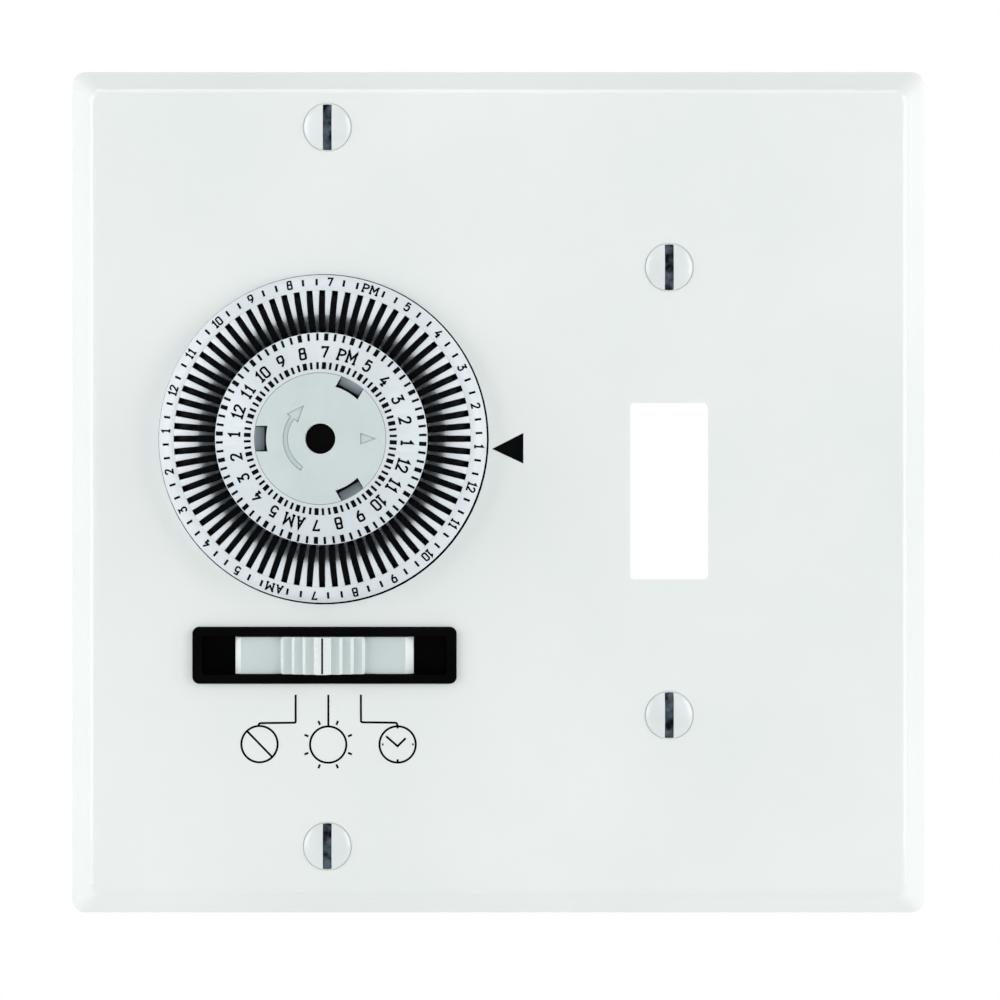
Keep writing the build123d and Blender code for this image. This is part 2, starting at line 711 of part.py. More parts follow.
# Selector link: a steel strip that carries the slider's choice up to the lever.
with BuildPart() as selector_link:
    LINK_H = MOVEMENT_BACK_H - WINDOW_GAP
    LINK_LOW = BEZEL_Z - LEG_TALL / 2
    slab(LEG_X, (LINK_TOP + LINK_LOW) / 2, LEG_W, LINK_TOP - LINK_LOW, LINK_H - LINK_T, LINK_H)
    slab(LEG_X + LINK_ARM / 2, LINK_TOP - LEG_W / 2, LINK_ARM, LEG_W, LINK_H - LINK_T, LINK_H)
finish(selector_link, "selector_link")

# Detent spring: a leaf on two seats whose crest clicks into the notches.
with BuildPart() as detent_spring:
    SPRING_Z = BEZEL_Z - CARRIAGE_W / 2 - SPRING_RISE - SPRING_GAP
    with BuildSketch(front(CARRIAGE_BACK_H + SPRING_SEAT / 4, BEZEL_X, SPRING_Z)):
        with BuildLine():
            Polyline(
                (-SPRING_L / 2, -SPRING_T),
                (SPRING_L / 2, -SPRING_T),
                (SPRING_L / 2, 0),
                (NOTCH_W, 0),
                (NOTCH_W / 4, SPRING_RISE),
                (-NOTCH_W / 4, SPRING_RISE),
                (-NOTCH_W, 0),
                (-SPRING_L / 2, 0),
                close=True,
            )
        make_face()
    extrude(amount=SPRING_SEAT / 2)
finish(detent_spring, "detent_spring")

# Movement plate: carries the spindle, the motor and the trip lever's pin.
with BuildPart() as movement_plate:
    slab(
        LEFT_X, DEVICE_RISE,
        CASE_W - 2 * CASE_WALL - 2 * MOVEMENT_GAP, CASE_H - 2 * CASE_WALL - 2 * MOVEMENT_GAP,
        MOVEMENT_BACK_H, MOVEMENT_FRONT_H, CASE_CORNER - CASE_WALL,
    )
    for side in (-1, 1):
        with BuildSketch(Plane.YZ.offset(NOSE_X + side * (LEVER_W / 2 + PIN_GAP))) as tab:
            with Locations((-LEVER_PIVOT_H, LEVER_PIVOT_Z)):
                Circle(LEVER_BOSS_R)
            with BuildLine():
                Polyline(
                    (-MOVEMENT_BACK_H, LEVER_PIVOT_Z - LEVER_BOSS_R),
                    (-LEVER_PIVOT_H, LEVER_PIVOT_Z - LEVER_BOSS_R),
                    (-LEVER_PIVOT_H, LEVER_PIVOT_Z + LEVER_BOSS_R),
                    (-MOVEMENT_BACK_H, LEVER_PIVOT_Z + LEVER_BOSS_R),
                    close=True,
                )
            make_face()
            with Locations((-LEVER_PIVOT_H, LEVER_PIVOT_Z)):
                Circle(PIN_R, mode=Mode.SUBTRACT)
        extrude(tab.sketch, amount=side * TAB_T)
    rod(DIAL_X, DIAL_Z, BORE_R, MOVEMENT_BACK_H - OVER, MOVEMENT_FRONT_H + OVER,
        mode=Mode.SUBTRACT)
    rod(MOTOR_X, MOTOR_Z, SHAFT_R + SPINDLE_GAP, MOVEMENT_BACK_H - OVER,
        MOVEMENT_FRONT_H + OVER, mode=Mode.SUBTRACT)
    for x, z in CORNERS:
        rod(x, z, CASE_SCREW_R + SCREW_GAP, MOVEMENT_BACK_H - OVER,
            MOVEMENT_FRONT_H + OVER, mode=Mode.SUBTRACT)
    slab(
        LEG_X, BEZEL_Z, LEG_W + 2 * SLIDER_STEP + 2 * WINDOW_GAP, LEG_TALL + 2 * WINDOW_GAP,
        MOVEMENT_BACK_H - OVER, MOVEMENT_FRONT_H + OVER, mode=Mode.SUBTRACT,
    )
    slab(
        NOSE_X, NOSE_Z, NOSE_W + 2 * WINDOW_GAP, NOSE_L + 4 * WINDOW_GAP,
        MOVEMENT_BACK_H - OVER, MOVEMENT_FRONT_H + OVER, mode=Mode.SUBTRACT,
    )
finish(movement_plate, "movement_plate")

# Trip lever: its nose stands in the path of the pressed trippers' feet, and
# its pusher works the moving contact.
with BuildPart() as trip_lever:
    ARM_FRONT = -LEVER_PIVOT_H - LEVER_T / 2
    ARM_BACK = -LEVER_PIVOT_H + LEVER_T / 2
    NOSE_LOW = NOSE_Z - NOSE_L / 2
    NOSE_TOP = NOSE_Z + NOSE_L / 2
    with BuildSketch(Plane.YZ.offset(NOSE_X)) as arm:
        with BuildLine():
            Polyline(
                (ARM_FRONT, LEVER_PIVOT_Z),
                (ARM_FRONT, NOSE_TOP),
                (ARM_BACK, NOSE_TOP),
                (ARM_BACK, PUSHER_Z + PUSHER_W / 2),
                (-LEAF_H - PUSHER_GAP, PUSHER_Z + PUSHER_W / 2),
                (-LEAF_H - PUSHER_GAP, PUSHER_Z - PUSHER_W / 2),
                (ARM_BACK, PUSHER_Z - PUSHER_W / 2),
                (ARM_BACK, LEVER_PIVOT_Z),
                close=True,
            )
        make_face()
        with Locations((-LEVER_PIVOT_H, LEVER_PIVOT_Z)):
            Circle(LEVER_BOSS_R)
            Circle(PIN_R + PIN_GAP, mode=Mode.SUBTRACT)
    extrude(arm.sketch, amount=LEVER_W / 2, both=True)
    slab(NOSE_X, NOSE_Z, NOSE_W, NOSE_L, -ARM_FRONT, NOSE_TIP_H - 2 * NOSE_TIP_DEEP)
    slab(NOSE_X, NOSE_Z, NOSE_TIP_W, NOSE_L, NOSE_TIP_H - 2 * NOSE_TIP_DEEP, NOSE_TIP_H)
    with BuildSketch(Plane.XY.offset(NOSE_LOW)) as wedge:
        with BuildLine():
            Polyline(
                (NOSE_X - NOSE_W / 2, -NOSE_TIP_H + 2 * NOSE_TIP_DEEP),
                (NOSE_X + NOSE_W / 2, -NOSE_TIP_H + 2 * NOSE_TIP_DEEP),
                (NOSE_X + NOSE_TIP_W / 2, -NOSE_TIP_H + NOSE_TIP_DEEP),
                (NOSE_X - NOSE_TIP_W / 2, -NOSE_TIP_H + NOSE_TIP_DEEP),
                close=True,
            )
        make_face()
    extrude(wedge.sketch, amount=NOSE_L)
finish(trip_lever, "trip_lever")

# Lever pin, pressed into the two tabs of the movement plate.
with BuildPart() as lever_pin:
    with BuildSketch(Plane.YZ.offset(NOSE_X)) as section:
        with Locations((-LEVER_PIVOT_H, LEVER_PIVOT_Z)):
            Circle(PIN_R)
    extrude(section.sketch, amount=LEVER_W / 2 + PIN_GAP + TAB_T, both=True)
finish(lever_pin, "lever_pin")

# Moving contact: a bronze leaf with a silver rivet.
with BuildPart() as moving_contact:
    slab(NOSE_X, (LEAF_LOW_Z + LEAF_TOP_Z) / 2, LEAF_W, LEAF_TOP_Z - LEAF_LOW_Z,
         LEAF_BACK_H, LEAF_H)
    rod(NOSE_X, CONTACT_Z, CONTACT_R, LEAF_BACK_H - CONTACT_T, LEAF_BACK_H)
finish(moving_contact, "moving_contact")

# Fixed contact: a brass strip from the rivet to the first terminal.
with BuildPart() as fixed_contact:
    STRIP_RIGHT = NOSE_X + STRIP_W / 2
    STRIP_LEFT = CASE_LEFT + CASE_WALL + MOVEMENT_GAP
    slab((STRIP_LEFT + STRIP_RIGHT) / 2, CONTACT_Z, STRIP_RIGHT - STRIP_LEFT, STRIP_W,
         STRIP_H - STRIP_T, STRIP_H)
    rod(NOSE_X, CONTACT_Z, CONTACT_R, STRIP_H, FIXED_H)
finish(fixed_contact, "fixed_contact")

# Switch base: the moulded block that carries the strip and the leaf's root.
with BuildPart() as switch_base:
    ROOT_H = LEAF_BACK_H - ANCHOR_GAP
    ROOT_LOW = LEAF_TOP_Z - CONTACT_R
    slab(NOSE_X, (BASE_LOW_Z + BASE_TOP_Z) / 2, BASE_W, BASE_TOP_Z - BASE_LOW_Z,
         BASE_H - BASE_T, BASE_H)
    slab(NOSE_X, (ROOT_LOW + BASE_TOP_Z) / 2, BASE_W, BASE_TOP_Z - ROOT_LOW, BASE_H, ROOT_H)
    slab(NOSE_X, DEVICE_RISE + CASE_H / 2 - CASE_WALL - BASE_T, BASE_W / 2, BASE_T,
         -CASE_DEEP + BACK_T, BASE_H - BASE_T)
finish(switch_base, "switch_base")

# Leaf anchor: the brass strip that grips the leaf's root.
with BuildPart() as leaf_anchor:
    ANCHOR_H = LEAF_H + ANCHOR_GAP
    slab(NOSE_X, (ROOT_LOW + BASE_TOP_Z) / 2, BASE_W, BASE_TOP_Z - ROOT_LOW,
         ANCHOR_H, ANCHOR_H + STRIP_T)
finish(leaf_anchor, "leaf_anchor")

# Drive pinion on the motor's output shaft.
with BuildPart() as drive_pinion:
    PINION_BACK_H = GEAR_BACK_H + LAYER_GAP
    with BuildSketch(front(PINION_BACK_H, MOTOR_X, MOTOR_Z)):
        with BuildLine():
            Polyline(*tooth_points(PINION_TEETH, 90 + 180 / PINION_TEETH), close=True)
        make_face()
    extrude(amount=GEAR_T - 2 * LAYER_GAP)
    rod(MOTOR_X, MOTOR_Z, SHAFT_R, MOTOR_FRONT_H - MOTOR_WALL, PINION_BACK_H)
finish(drive_pinion, "drive_pinion")

# Motor plate: closes the cup and stands off the movement plate on three posts.
with BuildPart() as motor_plate:
    rod(MOTOR_X, MOTOR_Z, MOTOR_R, MOTOR_FRONT_H - MOTOR_WALL, MOTOR_FRONT_H)
    for angle in (-10, 110, 190):
        x = MOTOR_X + MOTOR_POST_RING * sin(radians(angle))
        z = MOTOR_Z + MOTOR_POST_RING * cos(radians(angle))
        rod(x, z, MOTOR_POST_R, MOTOR_FRONT_H, MOVEMENT_BACK_H)
    rod(MOTOR_X, MOTOR_Z, SHAFT_R + SPINDLE_GAP, MOTOR_FRONT_H - MOTOR_WALL - OVER,
        MOTOR_FRONT_H + OVER, mode=Mode.SUBTRACT)
finish(motor_plate, "motor_plate")

# Motor cup: a drawn steel can, open at the front.
with BuildPart() as motor_cup:
    CUP_H = MOTOR_FRONT_H - MOTOR_WALL
    rod(MOTOR_X, MOTOR_Z, MOTOR_R, MOTOR_BACK_H, CUP_H)
    fillet(motor_cup.faces().sort_by(Axis.Y)[-1].edges(), MOTOR_WALL * 2)
    rod(MOTOR_X, MOTOR_Z, MOTOR_R - MOTOR_WALL, MOTOR_BACK_H + MOTOR_WALL, CUP_H + OVER,
        mode=Mode.SUBTRACT)
    rod(MOTOR_X, MOTOR_Z, ROTOR_SHAFT_R + SPINDLE_GAP, MOTOR_BACK_H - OVER,
        MOTOR_BACK_H + OVER, mode=Mode.SUBTRACT)
finish(motor_cup, "motor_cup")

# Motor bobbin with its winding, seated on the cup's floor.
BOBBIN_BACK_H = MOTOR_BACK_H + MOTOR_WALL
BOBBIN_H = BOBBIN_BACK_H + BOBBIN_T
with BuildPart() as motor_bobbin:
    rod(MOTOR_X, MOTOR_Z, BOBBIN_OUT_R, BOBBIN_BACK_H, BOBBIN_H)
    rod(MOTOR_X, MOTOR_Z, BOBBIN_IN_R, BOBBIN_BACK_H - OVER, BOBBIN_H + OVER, mode=Mode.SUBTRACT)
    with BuildSketch(front(BOBBIN_BACK_H + BOBBIN_WALL, MOTOR_X, MOTOR_Z)) as groove:
        Circle(BOBBIN_OUT_R + OVER)
        Circle(BOBBIN_IN_R + BOBBIN_WALL, mode=Mode.SUBTRACT)
    extrude(groove.sketch, amount=BOBBIN_T - 2 * BOBBIN_WALL, mode=Mode.SUBTRACT)
finish(motor_bobbin, "motor_bobbin")

with BuildPart() as motor_winding:
    with BuildSketch(front(BOBBIN_BACK_H + BOBBIN_WALL, MOTOR_X, MOTOR_Z)) as coil:
        Circle(WINDING_R)
        Circle(BOBBIN_IN_R + BOBBIN_WALL, mode=Mode.SUBTRACT)
    extrude(coil.sketch, amount=BOBBIN_T - 2 * BOBBIN_WALL)
finish(motor_winding, "motor_winding")

# Motor rotor: a magnet drum on its own shaft.
with BuildPart() as motor_rotor:
    ROTOR_BACK_H = BOBBIN_BACK_H + BOBBIN_WALL
    rod(MOTOR_X, MOTOR_Z, ROTOR_R, ROTOR_BACK_H, ROTOR_BACK_H + ROTOR_T)
    rod(MOTOR_X, MOTOR_Z, ROTOR_SHAFT_R, MOTOR_BACK_H, ROTOR_BACK_H + ROTOR_T + MOTOR_WALL)
finish(motor_rotor, "motor_rotor")

# Rear case: the deep moulded box behind the wall. It has ribs above and
# below, screw columns in its corners, vents on its right side and barriers
# between the terminals on its left.
with BuildPart() as rear_case:
    slab(LEFT_X, DEVICE_RISE, CASE_W, CASE_H, -CASE_DEEP, SEAM_H, CASE_CORNER)
    fillet(rear_case.faces().sort_by(Axis.Y)[-1].edges(), BACK_ROUND)
    for k in range(CASE_RIBS):
        x = LEFT_X + (k - (CASE_RIBS - 1) / 2) * CASE_RIB_PITCH
        slab(x, DEVICE_RISE, CASE_RIB_W, CASE_H + 2 * CASE_RIB_PROUD,
             -CASE_DEEP + BACK_ROUND, SEAM_H - BACK_ROUND)
    slab(
        LEFT_X, DEVICE_RISE, CASE_W - 2 * CASE_WALL, CASE_H - 2 * CASE_WALL,
        -CASE_DEEP + BACK_T, SEAM_H + OVER, CASE_CORNER - CASE_WALL, mode=Mode.SUBTRACT,
    )
    for x, z in CORNERS:
        rod(x, z, POST_R, -CASE_DEEP + BACK_T, MOVEMENT_BACK_H)
    for x, z in CORNERS:
        rod(x, z, CASE_SCREW_R + SCREW_GAP, -CASE_DEEP - OVER, SEAM_H + OVER + FRAME_DEEP,
            mode=Mode.SUBTRACT)
        rod(x, z, CASE_HEAD_R + SCREW_GAP, -CASE_DEEP - OVER, -CASE_DEEP + CASE_HEAD_T,
            mode=Mode.SUBTRACT)
    for k in range(VENTS):
        z = DEVICE_RISE + (k - (VENTS - 1) / 2) * VENT_PITCH
        with BuildSketch(Plane.YZ.offset(CASE_LEFT + CASE_W + OVER)) as vent:
            with Locations((-VENT_H, z)):
                SlotOverall(VENT_LONG, VENT_W)
        extrude(vent.sketch, amount=-CASE_WALL - 2 * OVER, mode=Mode.SUBTRACT)
    for k in range(TERMINALS + 1):
        z = TERMINAL_TOP_Z + TERMINAL_PITCH / 2 - k * TERMINAL_PITCH
        slab(CASE_LEFT - BARRIER_PROUD / 2, z, BARRIER_PROUD, BARRIER_T,
             TERMINAL_H - TERMINAL_W / 2 - BARRIER_T, TERMINAL_H + TERMINAL_W / 2 + BARRIER_T)
    for k in range(TERMINALS):
        z = TERMINAL_TOP_Z - k * TERMINAL_PITCH
        with BuildSketch(Plane.YZ.offset(CASE_LEFT - OVER)) as hole:
            with Locations((-TERMINAL_H, z)):
                Circle(TERMINAL_SCREW_R + SCREW_GAP)
        extrude(hole.sketch, amount=CASE_WALL + 2 * OVER, mode=Mode.SUBTRACT)
finish(rear_case, "rear_case")

# Case screws: four long ones from the back into the frame's posts.
with BuildPart() as case_screws:
    for x, z in CORNERS:
        rod(x, z, CASE_HEAD_R, -CASE_DEEP, -CASE_DEEP + CASE_HEAD_T)
        rod(x, z, CASE_SCREW_R, -CASE_DEEP + CASE_HEAD_T, MOVEMENT_FRONT_H + CASE_SCREW_BITE
            - SCREW_GAP)
        driver_slot(x, z, -CASE_DEEP - OVER, -CASE_DEEP + CASE_HEAD_T / 2, 2 * CASE_HEAD_R + OVER)
finish(case_screws, "case_screws")

# Terminal plates and their screws on the left side of the case.
with BuildPart() as terminal_plates:
    for k in range(TERMINALS):
        z = TERMINAL_TOP_Z - k * TERMINAL_PITCH
        slab(CASE_LEFT - TERMINAL_T / 2, z, TERMINAL_T, TERMINAL_W,
             TERMINAL_H - TERMINAL_W / 2, TERMINAL_H + TERMINAL_W / 2)
        with BuildSketch(Plane.YZ.offset(CASE_LEFT - TERMINAL_T - OVER)) as hole:
            with Locations((-TERMINAL_H, z)):
                Circle(TERMINAL_SCREW_R + SCREW_GAP)
        extrude(hole.sketch, amount=TERMINAL_T + 2 * OVER, mode=Mode.SUBTRACT)
finish(terminal_plates, "terminal_plates")

with BuildPart() as terminal_screws:
    for k in range(TERMINALS):
        z = TERMINAL_TOP_Z - k * TERMINAL_PITCH
        with BuildSketch(Plane.YZ.offset(CASE_LEFT + CASE_WALL)) as shank:
            with Locations((-TERMINAL_H, z)):
                Circle(TERMINAL_SCREW_R)
        extrude(shank.sketch, amount=-CASE_WALL - TERMINAL_T)
        with BuildSketch(Plane.YZ.offset(CASE_LEFT - TERMINAL_T)) as head:
            with Locations((-TERMINAL_H, z)):
                Circle(TERMINAL_HEAD_R)
        extrude(head.sketch, amount=-TERMINAL_HEAD_T)
        slab(CASE_LEFT - TERMINAL_T - TERMINAL_HEAD_T, z, TERMINAL_HEAD_T, SCREW_SLOT_W,
             TERMINAL_H - TERMINAL_HEAD_R - OVER, TERMINAL_H + TERMINAL_HEAD_R + OVER,
             mode=Mode.SUBTRACT)
finish(terminal_screws, "terminal_screws")


def ear(k):
    """One steel mounting ear, k = 1 above the case or -1 below it."""
    low = CASE_H / 2 + EAR_GAP
    middle = DEVICE_RISE + k * (low + EAR_END) / 2
    with BuildPart() as piece:
        with BuildSketch(front(EAR_BACK_H, LEFT_X, middle)) as outline:
            Rectangle(EAR_W, EAR_END - low)
            far = outline.vertices().group_by(Axis.Z)[-1 if k > 0 else 0]
            chamfer(far, EAR_CHAMFER)
        extrude(outline.sketch, amount=EAR_T)
        with BuildSketch(front(EAR_BACK_H - OVER, LEFT_X, DEVICE_RISE)) as holes:
            with Locations((0, k * BOX_SPACING / 2)):
                SlotOverall(EAR_SLOT_L, EAR_SLOT_W)
            with Locations((0, k * TALL_SPACING / 2)):
                Circle(SCREW_R + SCREW_GAP)
            with Locations(*[(i * EAR_SCREW_X, k * EAR_SCREW_Z) for i in (-1, 1)]):
                Circle(EAR_SCREW_R + SCREW_GAP)
        extrude(holes.sketch, amount=EAR_T + 2 * OVER, mode=Mode.SUBTRACT)
        if k < 0:
            rod(GROUND_X, DEVICE_RISE - TALL_SPACING / 2, GROUND_R + SCREW_GAP,
                EAR_BACK_H - OVER, EAR_BACK_H + EAR_T + OVER, mode=Mode.SUBTRACT)
    return piece


finish(ear(1), "mounting_ear_top")
finish(ear(-1), "mounting_ear_bottom")

# Ear screws, through the flange into the ears.
EAR_H = EAR_BACK_H + EAR_T
with BuildPart() as ear_screws:
    for i in (-1, 1):
        for k in (-1, 1):
            x, z = LEFT_X + i * EAR_SCREW_X, DEVICE_RISE + k * EAR_SCREW_Z
            rod(x, z, EAR_HEAD_R, FLANGE_H, FLANGE_H + EAR_HEAD_T)
            rod(x, z, EAR_SCREW_R, EAR_BACK_H, FLANGE_H)
            driver_slot(x, z, FLANGE_H + EAR_HEAD_T / 2, FLANGE_H + EAR_HEAD_T + OVER,
                        2 * EAR_HEAD_R + OVER)
finish(ear_screws, "ear_screws")

# Box screws, which hold the timer to the wall box.
with BuildPart() as box_screws:
    for x, z in BOX_SCREWS:
        rod(x, z, BOX_HEAD_R, EAR_H, EAR_H + BOX_HEAD_T)
        rod(x, z, NECK_R, EAR_H - BOX_NECK, EAR_H)
        rod(x, z, SCREW_R, EAR_H - BOX_SCREW_LONG, EAR_H - BOX_NECK)
        driver_slot(x, z, EAR_H + BOX_HEAD_T / 2, EAR_H + BOX_HEAD_T + OVER, 2 * BOX_HEAD_R + OVER)
finish(box_screws, "box_screws")

# Ground screw on the lower ear: a hexagon head.
with BuildPart() as ground_screw:
    GROUND_Z = DEVICE_RISE - TALL_SPACING / 2
    with BuildSketch(front(EAR_H, GROUND_X, GROUND_Z)):
        RegularPolygon(GROUND_HEAD_R, 6)
    extrude(amount=GROUND_HEAD_T)
    rod(GROUND_X, GROUND_Z, GROUND_R, EAR_H - GROUND_LONG, EAR_H)
    driver_slot(GROUND_X, GROUND_Z, EAR_H + GROUND_HEAD_T / 2, EAR_H + GROUND_HEAD_T + OVER,
                2 * GROUND_HEAD_R + OVER)
finish(ground_screw, "ground_screw")
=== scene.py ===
from math import asin, cos, degrees, hypot, pi, radians, sin

import bpy
from mathutils import Matrix, Vector


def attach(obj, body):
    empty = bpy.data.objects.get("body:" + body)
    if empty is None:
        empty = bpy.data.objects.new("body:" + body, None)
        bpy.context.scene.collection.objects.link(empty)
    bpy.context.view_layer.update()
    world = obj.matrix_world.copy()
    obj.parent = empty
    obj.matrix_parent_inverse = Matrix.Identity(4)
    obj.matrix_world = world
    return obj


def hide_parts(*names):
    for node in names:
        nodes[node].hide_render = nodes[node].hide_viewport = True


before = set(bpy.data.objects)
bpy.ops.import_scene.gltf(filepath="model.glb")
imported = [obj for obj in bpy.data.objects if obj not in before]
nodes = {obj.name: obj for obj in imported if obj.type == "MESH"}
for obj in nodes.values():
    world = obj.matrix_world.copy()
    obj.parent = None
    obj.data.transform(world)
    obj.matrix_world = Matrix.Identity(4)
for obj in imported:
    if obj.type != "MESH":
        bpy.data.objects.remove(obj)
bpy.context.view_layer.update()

# Wall plate: one sheet of steel, pressed to a shallow tray with sloping sides,
# punched for the dial, the slider, the toggle and four screws, and sprayed
# with a glossy white enamel.
MM = 0.001
SEAM = MM / 1000
PLATE_FRONT = 5.6
NOISE_LOW, NOISE_HIGH = 0.35, 0.65
FLAT_TURN, HARD_TURN = radians(0.5), radians(35)


def screen_colour(red, green, blue):
    """The shader's value of a colour that is known by its screen values, 0 to 255."""
    return tuple(
        c / 255 / 12.92 if c < 11 else ((c / 255 + 0.055) / 1.055) ** 2.4
        for c in (red, green, blue)
    ) + (1.0,)


def new_group(name, inputs, outputs):
    """An empty shader group with number and colour sockets, and its two end nodes."""
    group = bpy.data.node_groups.new(name, "ShaderNodeTree")
    for label, kind, value in inputs:
        socket = group.interface.new_socket(label, in_out="INPUT", socket_type=kind)
        socket.default_value = value
    for label, kind in outputs:
        group.interface.new_socket(label, in_out="OUTPUT", socket_type=kind)
    return group, group.nodes.new("NodeGroupInput"), group.nodes.new("NodeGroupOutput")


def noise(tree, scale, detail):
    """A noise texture on the piece's own coordinates, in metres, with its scale from a socket."""
    place = tree.nodes.new("ShaderNodeTexCoord")
    texture = tree.nodes.new("ShaderNodeTexNoise")
    texture.inputs["Detail"].default_value = detail
    tree.links.new(scale, texture.inputs["Scale"])
    tree.links.new(place.outputs["Object"], texture.inputs["Vector"])
    return texture.outputs["Fac"]


def spread(tree, value, low, high):
    """Maps a noise value onto a range whose ends are numbers or sockets."""
    node = tree.nodes.new("ShaderNodeMapRange")
    node.inputs["From Min"].default_value = NOISE_LOW
    node.inputs["From Max"].default_value = NOISE_HIGH
    for label, end in (("To Min", low), ("To Max", high)):
        if isinstance(end, float):
            node.inputs[label].default_value = end
        else:
            tree.links.new(end, node.inputs[label])
    tree.links.new(value, node.inputs["Value"])
    return node.outputs["Result"]


def blend_colours(tree, factor, first, second):
    """Mixes two colour sockets by a factor socket."""
    node = tree.nodes.new("ShaderNodeMix")
    node.data_type = "RGBA"
    tree.links.new(factor, node.inputs["Factor"])
    tree.links.new(first, node.inputs["A"])
    tree.links.new(second, node.inputs["B"])
    return node.outputs["Result"]


# The skin that every moulded, sprayed or plated piece shares: a slow cloud of
# colour, a gloss that wanders with it, and a fine grain that the light catches.
def make_skin_group():
    group, given, result = new_group(
        "Surface Skin",
        [
            ("Colour", "NodeSocketColor", (0.8, 0.8, 0.8, 1)),
            ("Thin Colour", "NodeSocketColor", (0.7, 0.7, 0.7, 1)),
            ("Cloud Scale", "NodeSocketFloat", 60.0),
            ("Grain Scale", "NodeSocketFloat", 2500.0),
            ("Least Roughness", "NodeSocketFloat", 0.3),
            ("Most Roughness", "NodeSocketFloat", 0.4),
        ],
        [
            ("Colour", "NodeSocketColor"),
            ("Roughness", "NodeSocketFloat"),
            ("Height", "NodeSocketFloat"),
        ],
    )
    cloud = noise(group, given.outputs["Cloud Scale"], 3.0)
    grain = noise(group, given.outputs["Grain Scale"], 2.0)
    share = spread(group, cloud, 0.0, 1.0)
    colour = blend_colours(
        group, share, given.outputs["Colour"], given.outputs["Thin Colour"]
    )
    gloss = spread(
        group, cloud, given.outputs["Least Roughness"], given.outputs["Most Roughness"]
    )
    group.links.new(colour, result.inputs["Colour"])
    group.links.new(gloss, result.inputs["Roughness"])
    group.links.new(grain, result.inputs["Height"])
    return group


surface_skin = make_skin_group()


def skin_material(
    name, colour, thin, rough, grain, relief, cloud=60.0, metallic=0.0, coat=0.0,
    coat_rough=0.1, shine=0.5,
):
    """A material with the shared skin: screen colours, a roughness range, a relief in mm."""
    material = bpy.data.materials.new(name)
    material.use_nodes = True
    tree = material.node_tree
    shader = tree.nodes["Principled BSDF"]
    shader.inputs["Metallic"].default_value = metallic
    shader.inputs["Specular IOR Level"].default_value = shine
    shader.inputs["Coat Weight"].default_value = coat
    shader.inputs["Coat Roughness"].default_value = coat_rough
    skin = tree.nodes.new("ShaderNodeGroup")
    skin.node_tree = surface_skin
    skin.inputs["Colour"].default_value = screen_colour(*colour)
    skin.inputs["Thin Colour"].default_value = screen_colour(*thin)
    skin.inputs["Cloud Scale"].default_value = cloud
    skin.inputs["Grain Scale"].default_value = grain
    skin.inputs["Least Roughness"].default_value = rough[0]
    skin.inputs["Most Roughness"].default_value = rough[1]
    bump = tree.nodes.new("ShaderNodeBump")
    bump.inputs["Distance"].default_value = relief * MM
    tree.links.new(skin.outputs["Height"], bump.inputs["Height"])
    tree.links.new(skin.outputs["Colour"], shader.inputs["Base Color"])
    tree.links.new(skin.outputs["Roughness"], shader.inputs["Roughness"])
    tree.links.new(bump.outputs["Normal"], shader.inputs["Normal"])
    return material


def dress(node, material, rounding=0.0):
    """Gives a CAD piece its material, and rounds its hard edges by so many mm."""
    piece = nodes[node]
    piece.data.materials.clear()
    piece.data.materials.append(material)
    if rounding:
        weld = piece.modifiers.new("Close seams", "WELD")
        weld.merge_threshold = SEAM
        merge = piece.modifiers.new("Clear flats", "DECIMATE")
        merge.decimate_type = "DISSOLVE"
        merge.angle_limit = FLAT_TURN
        edges = piece.modifiers.new("Soften edges", "BEVEL")
        edges.width = rounding * MM
        edges.segments = 2
        edges.limit_method = "ANGLE"
        edges.angle_limit = HARD_TURN
        edges.harden_normals = True
    return piece


white_enamel = skin_material(
    "White enamel", (233, 238, 236), (227, 233, 231), (0.20, 0.26), grain=900.0,
    relief=0.006, cloud=25.0, coat=0.4, coat_rough=0.08,
)
dress("wall_plate", white_enamel)

# Plate screws: four oval-head slotted machine screws of zinc-plated steel. The
# thread is rolled, the head is sprayed white like the plate, and the slot is
# coloured a dark, mottled steel.
GANG = 23.02
SCREW_PLACES = [(-GANG, 49.22), (-GANG, -47.62), (GANG, 30.365), (GANG, -29.965)]
PLATE_HEAD = [
    (0.0, 6.45), (0.9, 6.4), (1.8, 6.22), (2.6, 5.95), (3.08, 5.7), (3.17, 5.56),
    (3.12, 5.34), (1.45, 4.1), (1.45, 3.3), (0.0, 3.3),
]
PLATE_SHANK = (-8.4, 3.4)
PLATE_SLOT_FLOOR = 5.35
PAINT_LOW, SLOT_PAINT_LOW = 5.3, 6.1
SLOT_W, SLOT_LONG = 1.2, 8.0
SLOT_LIP = 0.03
SCREW_EDGE = 0.07
THREAD_R, CORE_R, THREAD_PITCH = 1.753, 1.4, 0.794
THREAD_RINGS = 6
THREAD_START = 0.3
OVERRUN = 1.0


def clear_selection():
    """Leaves nothing selected, so that the next operator acts on its own piece."""
    if bpy.context.object and bpy.context.object.mode != "OBJECT":
        bpy.ops.object.mode_set(mode="OBJECT")
    bpy.ops.object.select_all(action="DESELECT")


def pick(piece):
    """Makes one piece the only one selected, and active."""
    clear_selection()
    piece.select_set(True)
    bpy.context.view_layer.objects.active = piece
    return piece


def settle(piece):
    """Puts a piece's place in its mesh, so that its object lies at the origin."""
    pick(piece)
    bpy.ops.object.transform_apply(location=True, rotation=True, scale=True)
    return piece


def modify(piece, kind, **settings):
    """Adds a modifier, sets it and applies it."""
    pick(piece)
    bpy.ops.object.modifier_add(type=kind)
    modifier = piece.modifiers[-1]
    for label, value in settings.items():
        setattr(modifier, label, value)
    bpy.ops.object.modifier_apply(modifier=modifier.name)
    return piece


